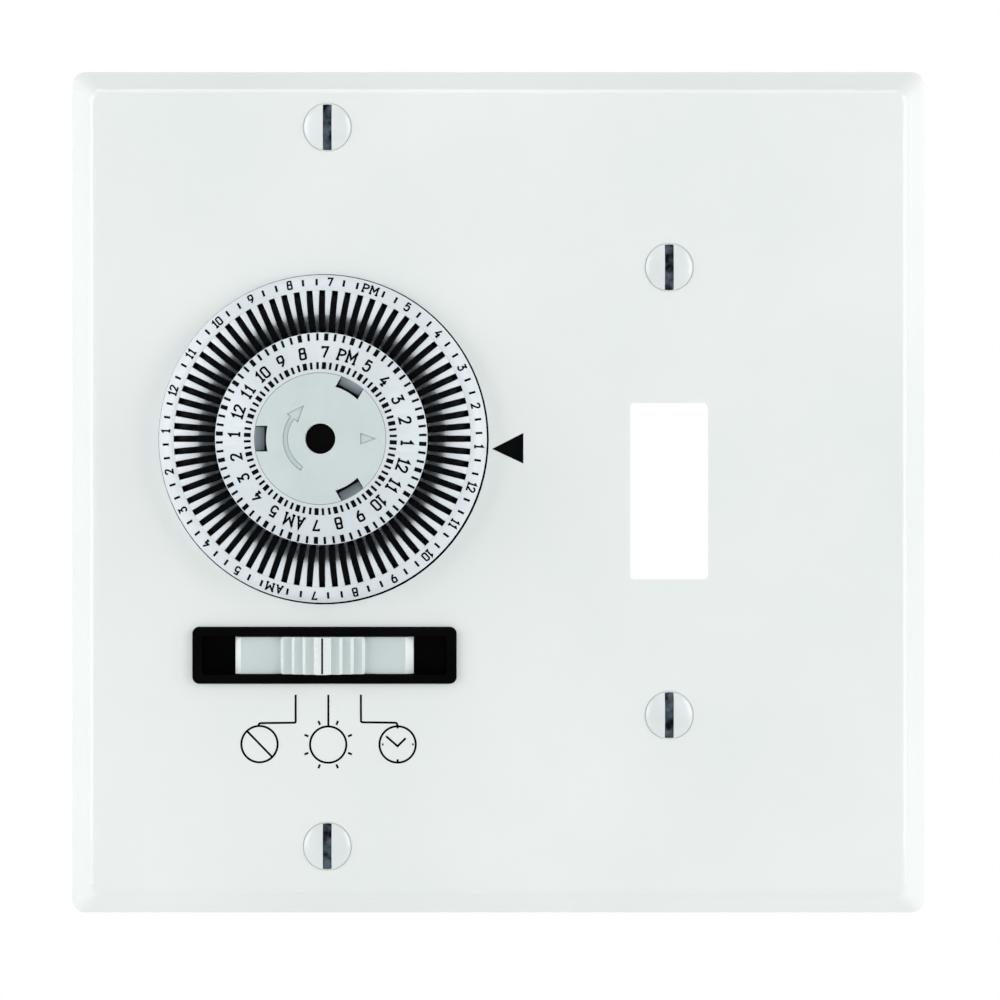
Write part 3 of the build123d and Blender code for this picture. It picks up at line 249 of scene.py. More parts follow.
def turned(name, outline, x, z, steps):
    """A piece turned on a lathe, its axis square to the wall: (radius, height) points in mm."""
    clear_selection()
    bpy.ops.mesh.primitive_circle_add(vertices=len(outline), fill_type="NOTHING")
    piece = bpy.context.object
    piece.name = name
    for vertex, (r, h) in zip(piece.data.vertices, outline):
        vertex.co = Vector(((x + r) * MM, -h * MM, z * MM))
    bpy.ops.object.mode_set(mode="EDIT")
    bpy.ops.mesh.select_all(action="SELECT")
    bpy.ops.mesh.spin(
        steps=steps, angle=2 * pi, center=(x * MM, 0, z * MM), axis=(0, 1, 0)
    )
    bpy.ops.mesh.select_all(action="SELECT")
    bpy.ops.mesh.remove_doubles(threshold=SEAM)
    bpy.ops.mesh.dissolve_degenerate(threshold=SEAM)
    bpy.ops.mesh.delete_loose()
    bpy.ops.mesh.select_all(action="SELECT")
    bpy.ops.mesh.normals_make_consistent(inside=False)
    bpy.ops.object.mode_set(mode="OBJECT")
    return piece


def bar(name, x, z, wide, tall, low, high):
    """A plain block from one height to another, in mm, as a cutter or a start."""
    clear_selection()
    bpy.ops.mesh.primitive_cube_add(
        size=1, location=(x * MM, -(low + high) / 2 * MM, z * MM),
        scale=(wide * MM, (high - low) * MM, tall * MM),
    )
    piece = bpy.context.object
    piece.name = name
    return settle(piece)


def cut(piece, cutter):
    """Cuts one closed piece out of another and throws the cutter away."""
    modify(piece, "BOOLEAN", operation="DIFFERENCE", object=cutter, solver="EXACT")
    bpy.data.objects.remove(cutter)
    return piece


def smooth(piece, turn=HARD_TURN):
    """Shades a piece smooth across all but its hard edges."""
    pick(piece)
    bpy.ops.object.shade_smooth_by_angle(angle=turn)
    return piece


def soften(piece, width, turn=radians(40), segments=2):
    """Rounds the edges of a new piece that turn by more than an angle, by so many mm."""
    return modify(
        piece, "BEVEL", width=width * MM, segments=segments, limit_method="ANGLE",
        angle_limit=turn,
    )


def slotted(head, x, z, floor, top, edge=SCREW_EDGE, segments=2):
    """Cuts a driver's slot across a screw's head and breaks its edges."""
    cut(head, bar("slot", x, z, SLOT_W, SLOT_LONG, floor, top + OVERRUN))
    return smooth(soften(head, edge, segments=segments))


def threaded(x, z, low, high, outer=THREAD_R, core=CORE_R):
    """A rolled thread between two heights: a bar whose skin rises and falls along a helix."""
    rings = int((high - low) / THREAD_PITCH * THREAD_RINGS)
    skin = [(outer, high - (high - low) * k / rings) for k in range(rings + 1)]
    piece = turned("shank", [(0.0, high)] + skin + [(0.0, low)], x, z, steps=28)
    for vertex in piece.data.vertices:
        across = Vector((vertex.co.x - x * MM, vertex.co.z - z * MM))
        if across.length < outer * MM / 2:
            continue
        h = -vertex.co.y / MM
        turn = across.angle_signed(Vector((1, 0))) / (2 * pi)
        phase = (h / THREAD_PITCH + turn) % 1.0
        ridge = 1 - abs(2 * phase - 1)
        from_tip, from_head = (h - low) / THREAD_PITCH, (high - h) / THREAD_PITCH
        share = max(0.0, min(1.0, from_tip, from_head + THREAD_START))
        across = across.normalized() * (core + (outer - core) * ridge * share) * MM
        vertex.co = Vector((x * MM + across.x, vertex.co.y, z * MM + across.y))
    return smooth(piece, radians(50))


def joined(name, parts):
    """Several meshes made one piece."""
    clear_selection()
    for part in parts:
        part.select_set(True)
    bpy.context.view_layer.objects.active = parts[0]
    bpy.ops.object.join()
    piece = bpy.context.object
    piece.name = name
    return piece


def give(piece, material, body, slot, *replaced):
    """Gives a new piece its material and body, and hides the CAD nodes it stands for. The finish
    slot is not used.
    """
    if material:
        piece.data.materials.clear()
        piece.data.materials.append(material)
    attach(piece, body)
    if replaced:
        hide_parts(*replaced)
    return piece


white_screw_paint = skin_material(
    "White screw paint", (225, 231, 230), (217, 224, 224), (0.28, 0.36), grain=1400.0,
    relief=0.006, cloud=180.0, coat=0.3,
)
zinc_plate = skin_material(
    "Zinc plate", (186, 192, 196), (158, 164, 170), (0.28, 0.42), grain=5200.0,
    relief=0.003, cloud=700.0, metallic=1.0,
)
slot_steel = skin_material(
    "Dark mottled slot steel", (84, 95, 106), (8, 11, 18), (0.34, 0.5), grain=5200.0,
    relief=0.006, cloud=800.0, metallic=0.9,
)
parts = []
# The paint ends at the head's rim, and in the slot just below its lips.
for x, z in SCREW_PLACES:
    head = turned("head", PLATE_HEAD, x, z, steps=64)
    slotted(head, x, z, PLATE_SLOT_FLOOR, PLATE_HEAD[0][1])
    head.data.materials.append(white_screw_paint)
    head.data.materials.append(slot_steel)
    for face in head.data.polygons:
        h = -face.center.y / MM
        in_slot = abs(face.center.x / MM - x) < SLOT_W / 2 - SLOT_LIP
        face.material_index = 1 if h < PAINT_LOW or (in_slot and h < SLOT_PAINT_LOW) else 0
    shank = threaded(x, z, *PLATE_SHANK)
    shank.data.materials.append(zinc_plate)
    parts += [head, shank]
give(joined("plate_screw_set", parts), None, "root", "screw_paint", "plate_screws")

# Dial ring: silver-white plastic, moulded in one piece with the comb that
# guides the trippers. Its outer band slopes back to the plate.
dial_white = skin_material(
    "Dial white", (220, 227, 231), (213, 221, 226), (0.34, 0.44), grain=3600.0,
    relief=0.004, cloud=140.0, coat=0.15, coat_rough=0.25,
)
dress("dial_ring", dial_white, rounding=0.05)

# Comb ridges: the rounded tops of the ring's seventy-two spokes, which stand a
# little lower than the trippers between them. Moulded with the ring.
DIAL_X, DIAL_Z = -23.58, 7.25
SPOKES = 72
SPOKE_TURN = 360 / SPOKES
TRIPPER_SLOT_HALF = 0.42
RIDGE_DEEP = 1.5
RIDGE_ROUND = 0.09
RIDGE_LINE = [
    (14.6, 7.9), (15.2, 8.3), (15.6, 8.7), (16.0, 9.3), (16.5, 9.6), (18.0, 9.45),
    (19.85, 8.66),
]


def on_dial(r, angle):
    """The x and z of a radius and a clockwise angle about the dial's axis."""
    a = radians(angle)
    return DIAL_X + r * sin(a), DIAL_Z + r * cos(a)


def turn_about_dial(piece, angle):
    """Turns a settled piece clockwise about the dial's axis."""
    axis = Vector((DIAL_X * MM, 0, DIAL_Z * MM))
    piece.data.transform(
        Matrix.Translation(axis) @ Matrix.Rotation(radians(angle), 4, "Y")
        @ Matrix.Translation(-axis)
    )
    return piece


def drawn_out(piece, run):
    """Draws a flat piece out along (right, back, up) steps in mm, to a closed one."""
    pick(piece)
    bpy.ops.object.mode_set(mode="EDIT")
    bpy.ops.mesh.select_all(action="SELECT")
    bpy.ops.mesh.extrude_region_move(
        TRANSFORM_OT_translate={"value": tuple(step * MM for step in run)}
    )
    bpy.ops.mesh.select_all(action="SELECT")
    bpy.ops.mesh.normals_make_consistent(inside=False)
    bpy.ops.object.mode_set(mode="OBJECT")
    return piece


clear_selection()
ridge_steps = len(RIDGE_LINE) - 1
bpy.ops.mesh.primitive_grid_add(x_subdivisions=ridge_steps, y_subdivisions=1, size=1)
ridge = bpy.context.object
for vertex in ridge.data.vertices:
    r, h = RIDGE_LINE[round((vertex.co.x + 0.5) * ridge_steps)]
    half = SPOKE_TURN / 2 - degrees(asin(TRIPPER_SLOT_HALF / r))
    x, z = on_dial(r, SPOKE_TURN / 2 + (half if vertex.co.y > 0 else -half))
    vertex.co = Vector((x * MM, -h * MM, z * MM))
drawn_out(ridge, (0, RIDGE_DEEP, 0))
parts = [smooth(soften(ridge, RIDGE_ROUND, radians(60)))]
for k in range(1, SPOKES):
    parts.append(ridge.copy())
    parts[-1].data = ridge.data.copy()
    bpy.context.collection.objects.link(parts[-1])
    turn_about_dial(parts[-1], SPOKE_TURN * k)
give(joined("comb_ridges", parts), dial_white, "dial", "dial_white")

# Trippers: seventy-two black blades, moulded in a tougher, smoother plastic.
# Each one slides in its own slot of the comb, and three of them make an hour.
tripper_black = skin_material(
    "Tripper black", (6, 7, 9), (4, 5, 7), (0.26, 0.36), grain=5200.0,
    relief=0.003, cloud=500.0, shine=0.03,
)
for hour in range(1, 25):
    dress(f"trippers_hour_{hour:02d}", tripper_black, rounding=0.1)

# Dial hub: the cone in the middle of the ring, moulded in the same plastic,
# with the tube that runs on the spindle and three catches for the knob. The
# catches behind the knob's windows are coloured grey: painted shade.
hub_white = skin_material(
    "Hub white", (213, 221, 225), (207, 216, 221), (0.34, 0.44), grain=3600.0,
    relief=0.004, cloud=140.0, coat=0.15, coat_rough=0.25,
)
# A darker grey for the catches: painted shade where little light reaches into the windows.
catch_painted_shade = skin_material(
    "Catch grey painted shade", (171, 180, 186), (160, 170, 177), (0.4, 0.5), grain=3600.0,
    relief=0.004, cloud=140.0,
)
CATCH_IN_R, CATCH_OUT_R = 6.6, 8.75
CATCH_LOW, CATCH_TOP = 9.0, 14.5
hub = dress("dial_hub", hub_white, rounding=0.05)
hub.data.materials.append(catch_painted_shade)
# The catch faces inside the windows take the grey: painted shade.
for face in hub.data.polygons:
    r = hypot(face.center.x / MM - DIAL_X, face.center.z / MM - DIAL_Z)
    h = -face.center.y / MM
    in_painted_shade = CATCH_IN_R < r < CATCH_OUT_R and CATCH_LOW < h < CATCH_TOP
    face.material_index = 1 if in_painted_shade else 0

# Knob: the flat disc that is turned to set the time of day. It is moulded with
# three windows, and with a curved arrow and a mark that are sunken, with a
# deeper groove round each.
KNOB_LOW, KNOB_TOP = 13.8, 15.0
KNOB_R, KNOB_BORE_R = 8.7, 2.02
KNOB_EDGE = 0.04
WINDOWS = (30, 150, 270)
WINDOW_IN_R = 7.15
WINDOW_HALF, WINDOW_MOUTH_HALF = 13.75, 10.1
ARROW_IN_R, ARROW_OUT_R = 4.27, 4.95
ARROW_TAIL, ARROW_NECK = 211.0, 306.3
ARROW_HEAD = [(5.56, 306.2), (4.92, 334.5), (3.63, 306.3)]
MARK_FOOT, MARK_TIP, MARK_HALF = 5.32, 7.43, 0.77
GROOVE_DEEP, GROOVE_W = 0.28, 0.09
SIGN_DEEP = 0.19
BURIED = 0.1


def inset(outline, by):
    """A closed outline of (x, z) points moved inwards by so many mm, its corners kept sharp."""
    points = [Vector(point) for point in outline]
    ahead, in_painted_shade = points[1:] + points[:1], points[-1:] + points[:-1]
    area = sum(a.x * b.y - a.y * b.x for a, b in zip(points, ahead))
    moved = []
    for before, point, after in zip(in_painted_shade, points, ahead):
        first, second = (point - before).normalized(), (after - point).normalized()
        across = Vector((-first.y - second.y, first.x + second.x))
        reach = (by if area > 0 else -by) / (1 + first.dot(second))
        moved.append(tuple(point + across * reach))
    return moved


def flat_face(name, corners):
    """One flat face through corner points (x, height, z) in mm."""
    clear_selection()
    bpy.ops.mesh.primitive_circle_add(vertices=len(corners), fill_type="NGON")
    piece = bpy.context.object
    piece.name = name
    for vertex, (x, h, z) in zip(piece.data.vertices, corners):
        vertex.co = Vector((x * MM, -h * MM, z * MM))
    return piece


def prism(name, outline, low, high):
    """A flat outline of (x, z) points in mm, made solid between two heights."""
    front = flat_face(name, [(x, high, z) for x, z in outline])
    return drawn_out(front, (0, high - low, 0))


def disc(name, x, z, r, low, high, sides):
    """A round bar, or one with a few flat sides, from one height to another."""
    clear_selection()
    bpy.ops.mesh.primitive_cylinder_add(
        vertices=sides, radius=r * MM, depth=(high - low) * MM,
        location=(x * MM, -(low + high) / 2 * MM, z * MM), rotation=(radians(90), 0, 0),
    )
    piece = bpy.context.object
    piece.name = name
    return settle(piece)


def arc(r, first, last, steps):
    """Points round the dial's axis at one radius, from one clockwise angle to another."""
    return [on_dial(r, first + (last - first) * k / steps) for k in range(steps + 1)]


knob = disc("dial_knob_disc", DIAL_X, DIAL_Z, KNOB_R, KNOB_LOW, KNOB_TOP, sides=160)
through = (KNOB_LOW - OVERRUN, KNOB_TOP + OVERRUN)
cut(knob, disc("bore", DIAL_X, DIAL_Z, KNOB_BORE_R, *through, sides=96))
for angle in WINDOWS:
    window = arc(WINDOW_IN_R, angle - WINDOW_HALF, angle + WINDOW_HALF, 12)
    window += arc(KNOB_R + OVERRUN, angle + WINDOW_MOUTH_HALF, angle - WINDOW_MOUTH_HALF, 1)
    cut(knob, prism("window", window, *through))
arrow = arc(ARROW_OUT_R, ARROW_TAIL, ARROW_NECK, 16)
arrow += [on_dial(r, angle) for r, angle in ARROW_HEAD]
arrow += arc(ARROW_IN_R, ARROW_NECK, ARROW_TAIL, 16)
mark = [
    (DIAL_X + MARK_FOOT, DIAL_Z + MARK_HALF), (DIAL_X + MARK_TIP, DIAL_Z),
    (DIAL_X + MARK_FOOT, DIAL_Z - MARK_HALF),
]
for outline in (arrow, mark):
    cut(knob, prism("sign", outline, KNOB_TOP - GROOVE_DEEP, KNOB_TOP + OVERRUN))
parts = [smooth(soften(knob, KNOB_EDGE))]
for outline in (arrow, mark):
    sign = inset(outline, GROOVE_W)
    parts.append(prism("sign", sign, KNOB_TOP - GROOVE_DEEP - BURIED, KNOB_TOP - SIGN_DEEP))
knob = joined("dial_knob_disc", parts)
knob_white = skin_material(
    "Knob white", (204, 216, 216), (199, 211, 211), (0.36, 0.46), grain=3600.0,
    relief=0.004, cloud=160.0, coat=0.1, coat_rough=0.3,
)
give(knob, knob_white, "dial", "knob_white", "dial_knob")

# Scales of the dial: black ink, pad-printed, one on the ring and one on the
# hub. The dial turns clockwise past the pointer, so the hours count down
# clockwise. The letters and figures have slab feet and one pen width a scale.
LABELS = [
    label for half_day in ("PM", "AM")
    for label in ("7", half_day, "5", "4", "3", "2", "1", "12", "11", "10", "9", "8")
]
FIRST_LABEL = 2.9
HOUR_TURN = 360 / len(LABELS)
OUTER_WORD_R, OUTER_WORD_TALL, OUTER_WORD_PEN = 21.03, 1.06, 0.23
INNER_WORD_R, INNER_WORD_TALL, INNER_WORD_PEN = 11.49, 1.42, 0.275
BROAD_WORD = 1.14
OUTER_BAND = (20.58, 21.46)
INNER_BANDS = [(13.08, 14.05), (9.22, 10.15)]
OUTER_MARK_PEN, INNER_MARK_PEN, HOUR_MARK_PEN = 0.3, 0.32, 0.55
PRINT_FROM = 20.0
INK_LIFT = 0.03
FIGURE_GAP_SHARE = 0.17
CORNER_SHARE = 0.3


def box_loop(left, low, right, high):
    """The pen's way round a squarish loop with round corners, back to where it began."""
    side = (high - low) * CORNER_SHARE
    return [
        (left, low + side), (left, high - side), (left, high), (right, high),
        (right, high - side), (right, low + side), (right, low), (left, low), (left, low + side),
    ]


# Each figure is its width and its pen lines, as shares of its height. A point
# given twice is a sharp corner, and the others round off.
PEN_SHARES = {
    "0": (0.52, [box_loop(0, 0, 0.52, 1)]),
    "1": (0.46, [
        [(0, 0.78), (0.24, 1), (0.24, 1), (0.24, 0)],
        [(0.02, 0), (0.46, 0)],
    ]),
    "2": (0.52, [
        [(0, 0.72), (0, 1), (0.52, 1), (0.52, 0.62), (0, 0), (0, 0), (0.54, 0)],
    ]),
    "3": (0.52, [
        [(0.02, 1), (0.5, 1), (0.5, 1), (0.22, 0.6), (0.22, 0.6), (0.52, 0.6), (0.52, 0),
         (0, 0), (0, 0.22)],
    ]),
    "4": (0.58, [
        [(0.36, 1), (0, 0.32), (0, 0.32), (0.58, 0.32)],
        [(0.4, 0.56), (0.4, 0)],
        [(0.22, 0), (0.58, 0)],
    ]),
    "5": (0.52, [
        [(0.48, 1), (0.04, 1), (0.04, 1), (0.02, 0.56), (0.02, 0.56), (0.16, 0.66), (0.52, 0.66),
         (0.52, 0), (0, 0), (0, 0.18)],
    ]),
    "7": (0.52, [
        [(0, 0.84), (0, 1), (0, 1), (0.52, 1), (0.52, 1), (0.17, 0)],
    ]),
    "8": (0.52, [box_loop(0.03, 0.54, 0.49, 1), box_loop(0, 0, 0.52, 0.54)]),
    "9": (0.52, [box_loop(0, 0.42, 0.52, 1), [(0.52, 0.72), (0.52, 0.34), (0.14, 0)]]),
    "A": (0.82, [
        [(0.13, 0), (0.41, 1), (0.41, 1), (0.69, 0)],
        [(0.22, 0.33), (0.6, 0.33)],
        [(0, 0), (0.26, 0)],
        [(0.56, 0), (0.82, 0)],
    ]),
    "P": (0.7, [
        [(0.13, 0), (0.13, 1)],
        [(0, 1), (0.7, 1), (0.7, 0.46), (0.13, 0.46)],
        [(0, 0), (0.32, 0)],
    ]),
    "M": (1.0, [
        [(0.14, 0), (0.14, 1), (0.14, 1), (0.5, 0.36), (0.5, 0.36), (0.86, 1), (0.86, 1),
         (0.86, 0)],
        [(0, 0), (0.3, 0)],
        [(0.7, 0), (1.0, 0)],
        [(0, 1), (0.14, 1)],
        [(0.86, 1), (1.0, 1)],
    ]),
}


def pen_lines(words, height, middle_r, angle, breadth=1.0):
    """The lines of a label wrapped round the dial, its foot towards the axis."""
    wide = sum(PEN_SHARES[sign][0] for sign in words) + FIGURE_GAP_SHARE * (len(words) - 1)
    lines, start = [], -wide / 2
    for sign in words:
        own_width, own_lines = PEN_SHARES[sign]
        for line in own_lines:
            lines.append([])
            for u, v in line:
                r = middle_r + (v - 0.5) * height
                along = (start + u) * height * breadth
                lines[-1].append(on_dial(r, angle + degrees(along / r)))
        start += own_width + FIGURE_GAP_SHARE
    return lines


def mark_line(inner_r, outer_r, angle):
    """The line of one mark of the scale, from its inner to its outer end."""
    return [on_dial(inner_r + (outer_r - inner_r) * k / 4, angle) for k in range(5)]


def inked(name, lines, width, height=PRINT_FROM):
    """Flat ribbons of ink along (x, z) lines in mm, at a height in front of the wall."""
    clear_selection()
    drawn = bpy.data.curves.new(name, "CURVE")
    drawn.dimensions = "2D"
    drawn.fill_mode = "NONE"
    drawn.resolution_u = 5
    drawn.bevel_depth = width / 2 * MM
    drawn.bevel_resolution = 0
    for line in lines:
        closed = line[0] == line[-1]
        points = line[:-1] if closed else line
        pen = drawn.splines.new("NURBS")
        pen.points.add(len(points) - 1)
        for point, (x, z) in zip(pen.points, points):
            point.co = (x * MM, z * MM, 0, 1)
        pen.use_cyclic_u = closed
        pen.order_u = 3
        pen.use_endpoint_u = not closed
    piece = bpy.data.objects.new(name, drawn)
    bpy.context.collection.objects.link(piece)
    pick(piece)
    bpy.ops.object.convert(target="MESH")
    piece = bpy.context.object
    for face in piece.data.polygons:
        face.select = face.center.z < 0
    bpy.ops.object.mode_set(mode="EDIT")
    bpy.context.tool_settings.mesh_select_mode = (False, False, True)
    bpy.ops.mesh.delete(type="FACE")
    bpy.context.tool_settings.mesh_select_mode = (True, False, False)
    bpy.ops.object.mode_set(mode="OBJECT")
    for vertex in piece.data.vertices:
        vertex.co = Vector((vertex.co.x, -height * MM, vertex.co.y))
    return piece


def lay_on(piece, target):
    """Lays a flat print back onto the surface behind it."""
    modify(piece, "SHRINKWRAP", target=target, wrap_method="PROJECT",
           use_project_y=True, use_project_x=False, use_project_z=False,
           use_positive_direction=True, use_negative_direction=False)
    for vertex in piece.data.vertices:
        vertex.co.y -= INK_LIFT * MM
    return piece


scale_ink = skin_material(
    "Scale ink", (5, 6, 9), (9, 10, 13), (0.45, 0.58), grain=4200.0,
    relief=0.002, cloud=900.0, shine=0.02,
)
outer_marks, inner_marks, hour_marks, outer_words, inner_words = [], [], [], [], []
for k, words in enumerate(LABELS):
    angle = FIRST_LABEL + HOUR_TURN * k
    breadth = BROAD_WORD if "M" in words else 1.0
    outer_words += pen_lines(words, OUTER_WORD_TALL, OUTER_WORD_R, angle, breadth)
    inner_words += pen_lines(words, INNER_WORD_TALL, INNER_WORD_R, angle)
    for step in (SPOKE_TURN, 2 * SPOKE_TURN):
        outer_marks.append(mark_line(*OUTER_BAND, angle + step))
        inner_marks += [mark_line(*band, angle + step) for band in INNER_BANDS]
    hour_marks += [mark_line(*band, angle) for band in INNER_BANDS]
outer = [
    inked("marks", outer_marks, OUTER_MARK_PEN), inked("words", outer_words, OUTER_WORD_PEN),
]
inner = [
    inked("marks", inner_marks, INNER_MARK_PEN), inked("hours", hour_marks, HOUR_MARK_PEN),
    inked("words", inner_words, INNER_WORD_PEN),
]
for name, prints, carrier in (
    ("outer_scale", outer, "dial_ring"), ("inner_scale", inner, "dial_hub"),
):
    give(lay_on(joined(name, prints), nodes[carrier]), scale_ink, "dial", "tripper_black")

# Front frame: black plastic. Only its bezel shows through the plate, with the
# slider's trough in it.
frame_black = skin_material(
    "Frame black", (6, 6, 7), (3, 3, 4), (0.34, 0.44), grain=4200.0,
    relief=0.004, cloud=220.0, shine=0.02,
)
dress("front_frame", frame_black, rounding=0.2)

# Mode slider: light grey plastic. Its ends slope down to the trough, and a
# grip for the fingertip climbs from both sides in steps to a ridge that
# carries the printed pointer line. The grey comes as a lit and a shaded copy:
# the step edges, end slopes and ridge top take the lighter one, painted
# highlight, and the flats the darker one, painted shade.
SLIDER_X, SLIDER_Z = -23.4, -21.9
SLIDER_HALF, SLIDER_TALL = 12.0, 5.0
SLIDER_BACK, SLIDER_FACE = 3.0, 5.9
SLIDER_EDGE = 0.06
END_RUN_LEFT, END_RUN_RIGHT, END_SLOPE = 0.75, 1.1, 0.65
GRIP_LEFT = 0.2
GRIP_X = SLIDER_X - GRIP_LEFT
STEPS_OUT = (5.65, 4.15, 2.66, 1.15)
STEP_RUN, STEP_RISE = 0.36, 0.6
STEP_DIP, DIP_FROM = 0.2, 7.2
RIDGE_TOP = SLIDER_FACE + len(STEPS_OUT) * STEP_RISE
SKIN_DEEP = 0.1
STEEP_SHARE = 0.3
STEM_WIDE, STEM_TALL = 6.0, 2.4
STEM_LOW, STEM_TOP = -0.6, 3.1


def bar_along(name, outline, low, high):
    """A bar that runs up the plate: (x, height) points in mm, from one z to another."""
    return drawn_out(flat_face(name, [(x, h, low) for x, h in outline]), (0, 0, high - low))


slider_grey = skin_material(
    "Slider grey", (201, 212, 212), (196, 208, 208), (0.32, 0.42), grain=3600.0,
    relief=0.004, cloud=160.0, coat=0.1,
)
# A lighter copy of the slider grey: painted highlight.
slider_painted_highlight = skin_material(
    "Painted highlight slider grey", (229, 235, 235), (224, 231, 231), (0.24, 0.32), grain=3600.0,
    relief=0.003, cloud=160.0, coat=0.2,
)


def slider_side(way, end_run):
    """Half of the slider's section, from its end to the ridge: way 1 is right, -1 is left."""
    line = [
        (SLIDER_X + way * SLIDER_HALF, SLIDER_BACK),
        (SLIDER_X + way * SLIDER_HALF, SLIDER_FACE - END_SLOPE * end_run),
        (SLIDER_X + way * (SLIDER_HALF - end_run), SLIDER_FACE),
        (GRIP_X + way * DIP_FROM, SLIDER_FACE),
    ]
    for k, out in enumerate(STEPS_OUT):
        line += [
            (GRIP_X + way * out, SLIDER_FACE + k * STEP_RISE - STEP_DIP),
            (GRIP_X + way * (out - STEP_RUN), SLIDER_FACE + (k + 1) * STEP_RISE),
        ]
    return line


slider = bar_along(
    "slider", slider_side(1, END_RUN_RIGHT) + slider_side(-1, END_RUN_LEFT)[::-1],
    SLIDER_Z - SLIDER_TALL / 2, SLIDER_Z + SLIDER_TALL / 2,
)
soften(slider, SLIDER_EDGE, radians(20))
slider.data.materials.append(slider_grey)
slider.data.materials.append(slider_painted_highlight)
# Steep sideways faces and the ridge top take the lighter copy: painted highlight.
for face in slider.data.polygons:
    slopes = abs(face.normal.x) > STEEP_SHARE and face.normal.y < -STEEP_SHARE
    on_ridge = -face.center.y / MM > RIDGE_TOP - SKIN_DEEP
    face.material_index = 1 if slopes or on_ridge else 0
stem = bar("stem", SLIDER_X, SLIDER_Z, STEM_WIDE, STEM_TALL, STEM_LOW, STEM_TOP)
stem.data.materials.append(slider_grey)
give(joined("slider_knob", [smooth(slider), stem]), None, "selector", "slider_grey", "mode_slider")

# Legend of the plate: black ink, screen-printed on the enamel. A pointer for
# the dial, and a line from each place of the slider to its sign: off, on and
# timer.
LINE_PEN = 0.28
SIGN_R = 2.45
OFF, SUN, CLOCK = (-32.15, -33.86), (-22.9, -33.92), (-13.55, -33.9)
LINE_TOP = -27.2
OFF_LINE = [
    (-27.28, LINE_TOP), (-27.28, -30.6), (-27.28, -30.96), (-27.66, -30.98), (-31.8, -31.02),
    (-32.25, -31.06), (OFF[0] - 0.12, OFF[1] + SIGN_R),
]
SUN_LINE = [(SUN[0] + 0.02, LINE_TOP), (SUN[0] + 0.02, SUN[1] + SIGN_R)]
CLOCK_LINE = [
    (-18.5, LINE_TOP), (-18.49, -30.56), (-18.47, -30.9), (-18.1, -30.93), (-14.1, -30.96),
    (CLOCK[0], -31.0), (CLOCK[0], CLOCK[1] + SIGN_R - 0.3),
]
OFF_STROKE = [(-1.7, 1.78), (1.72, -1.74)]
CLOCK_HANDS = [(-1.55, 1.1), (0, -0.24), (0, -0.24), (1.08, 0.84)]
CLOCK_TICKS = [[(0, -2.0), (0, -2.42)], [(-2.1, 0), (-1.9, 0)], [(1.96, 0), (2.16, 0)]]
RAYS = 8
RAY_ENDS = (2.88, 3.46)
POINTER = [(-0.83, 5.9), (3.38, 8.05), (3.38, 3.92)]
PRINT_LOW, PRINT_TOP = PLATE_FRONT - 0.01, PLATE_FRONT + 0.015
SLIDER_PEN, SLIDER_PEN_HALF = 0.25, 2.4
SLIDER_PRINT = RIDGE_TOP + 0.02


def about(sign, points):
    """Points given from a sign's middle, put in their places on the plate."""
    return [(sign[0] + x, sign[1] + z) for x, z in points]


def circle_line(x, z, r):
    """A closed pen line round a circle."""
    angles = [radians(10 * k) for k in range(36)]
    return [(x + r * sin(a), z + r * cos(a)) for a in angles] + [(x, z + r)]


signs = [circle_line(*OFF, SIGN_R), circle_line(*SUN, SIGN_R), circle_line(*CLOCK, SIGN_R)]
signs += [OFF_LINE, SUN_LINE, CLOCK_LINE, about(OFF, OFF_STROKE), about(CLOCK, CLOCK_HANDS)]
signs += [about(CLOCK, tick) for tick in CLOCK_TICKS]
for k in range(RAYS):
    a = 2 * pi * (k + 0.5) / RAYS
    signs.append(about(SUN, [(r * sin(a), r * cos(a)) for r in RAY_ENDS]))
legend = [
    inked("signs", signs, LINE_PEN, PRINT_TOP), prism("pointer", POINTER, PRINT_LOW, PRINT_TOP),
]
give(joined("plate_legend", legend), scale_ink, "root", "tripper_black")
pointer_line = [
    (GRIP_X, SLIDER_Z - SLIDER_PEN_HALF), (GRIP_X, SLIDER_Z + SLIDER_PEN_HALF),
]
slider_pointer = inked("slider_pointer", [pointer_line], SLIDER_PEN, SLIDER_PRINT)
give(slider_pointer, scale_ink, "selector", "tripper_black")

# Mounting ears: two stampings of zinc-plated steel, screwed to the frame, and
# their screws.
for node in ("mounting_ear_top", "mounting_ear_bottom"):
    dress(node, zinc_plate, rounding=0.12)
dress("ear_screws", zinc_plate, rounding=0.1)

# Box screws: two pan-head machine screws, zinc plated, that hold the timer to
# the wall box behind the plate.
BOX_SCREWS_Z = (42.47, -40.87)
BOX_HEAD = [
    (0.0, 3.2), (1.6, 3.14), (2.7, 2.9), (3.25, 2.4), (3.4, 1.9), (3.4, 1.4), (1.45, 1.4),
    (1.45, 0.0), (0.0, 0.0),
]
BOX_SLOT_FLOOR = 2.3
BOX_SHANK = (-24.0, 0.0)
parts = []
for z in BOX_SCREWS_Z:
    head = turned("head", BOX_HEAD, -GANG, z, steps=48)
    slotted(head, -GANG, z, BOX_SLOT_FLOOR, BOX_HEAD[0][1])
    parts += [head, threaded(-GANG, z, *BOX_SHANK)]
give(joined("box_screw_pair", parts), zinc_plate, "root", "zinc_steel", "box_screws")

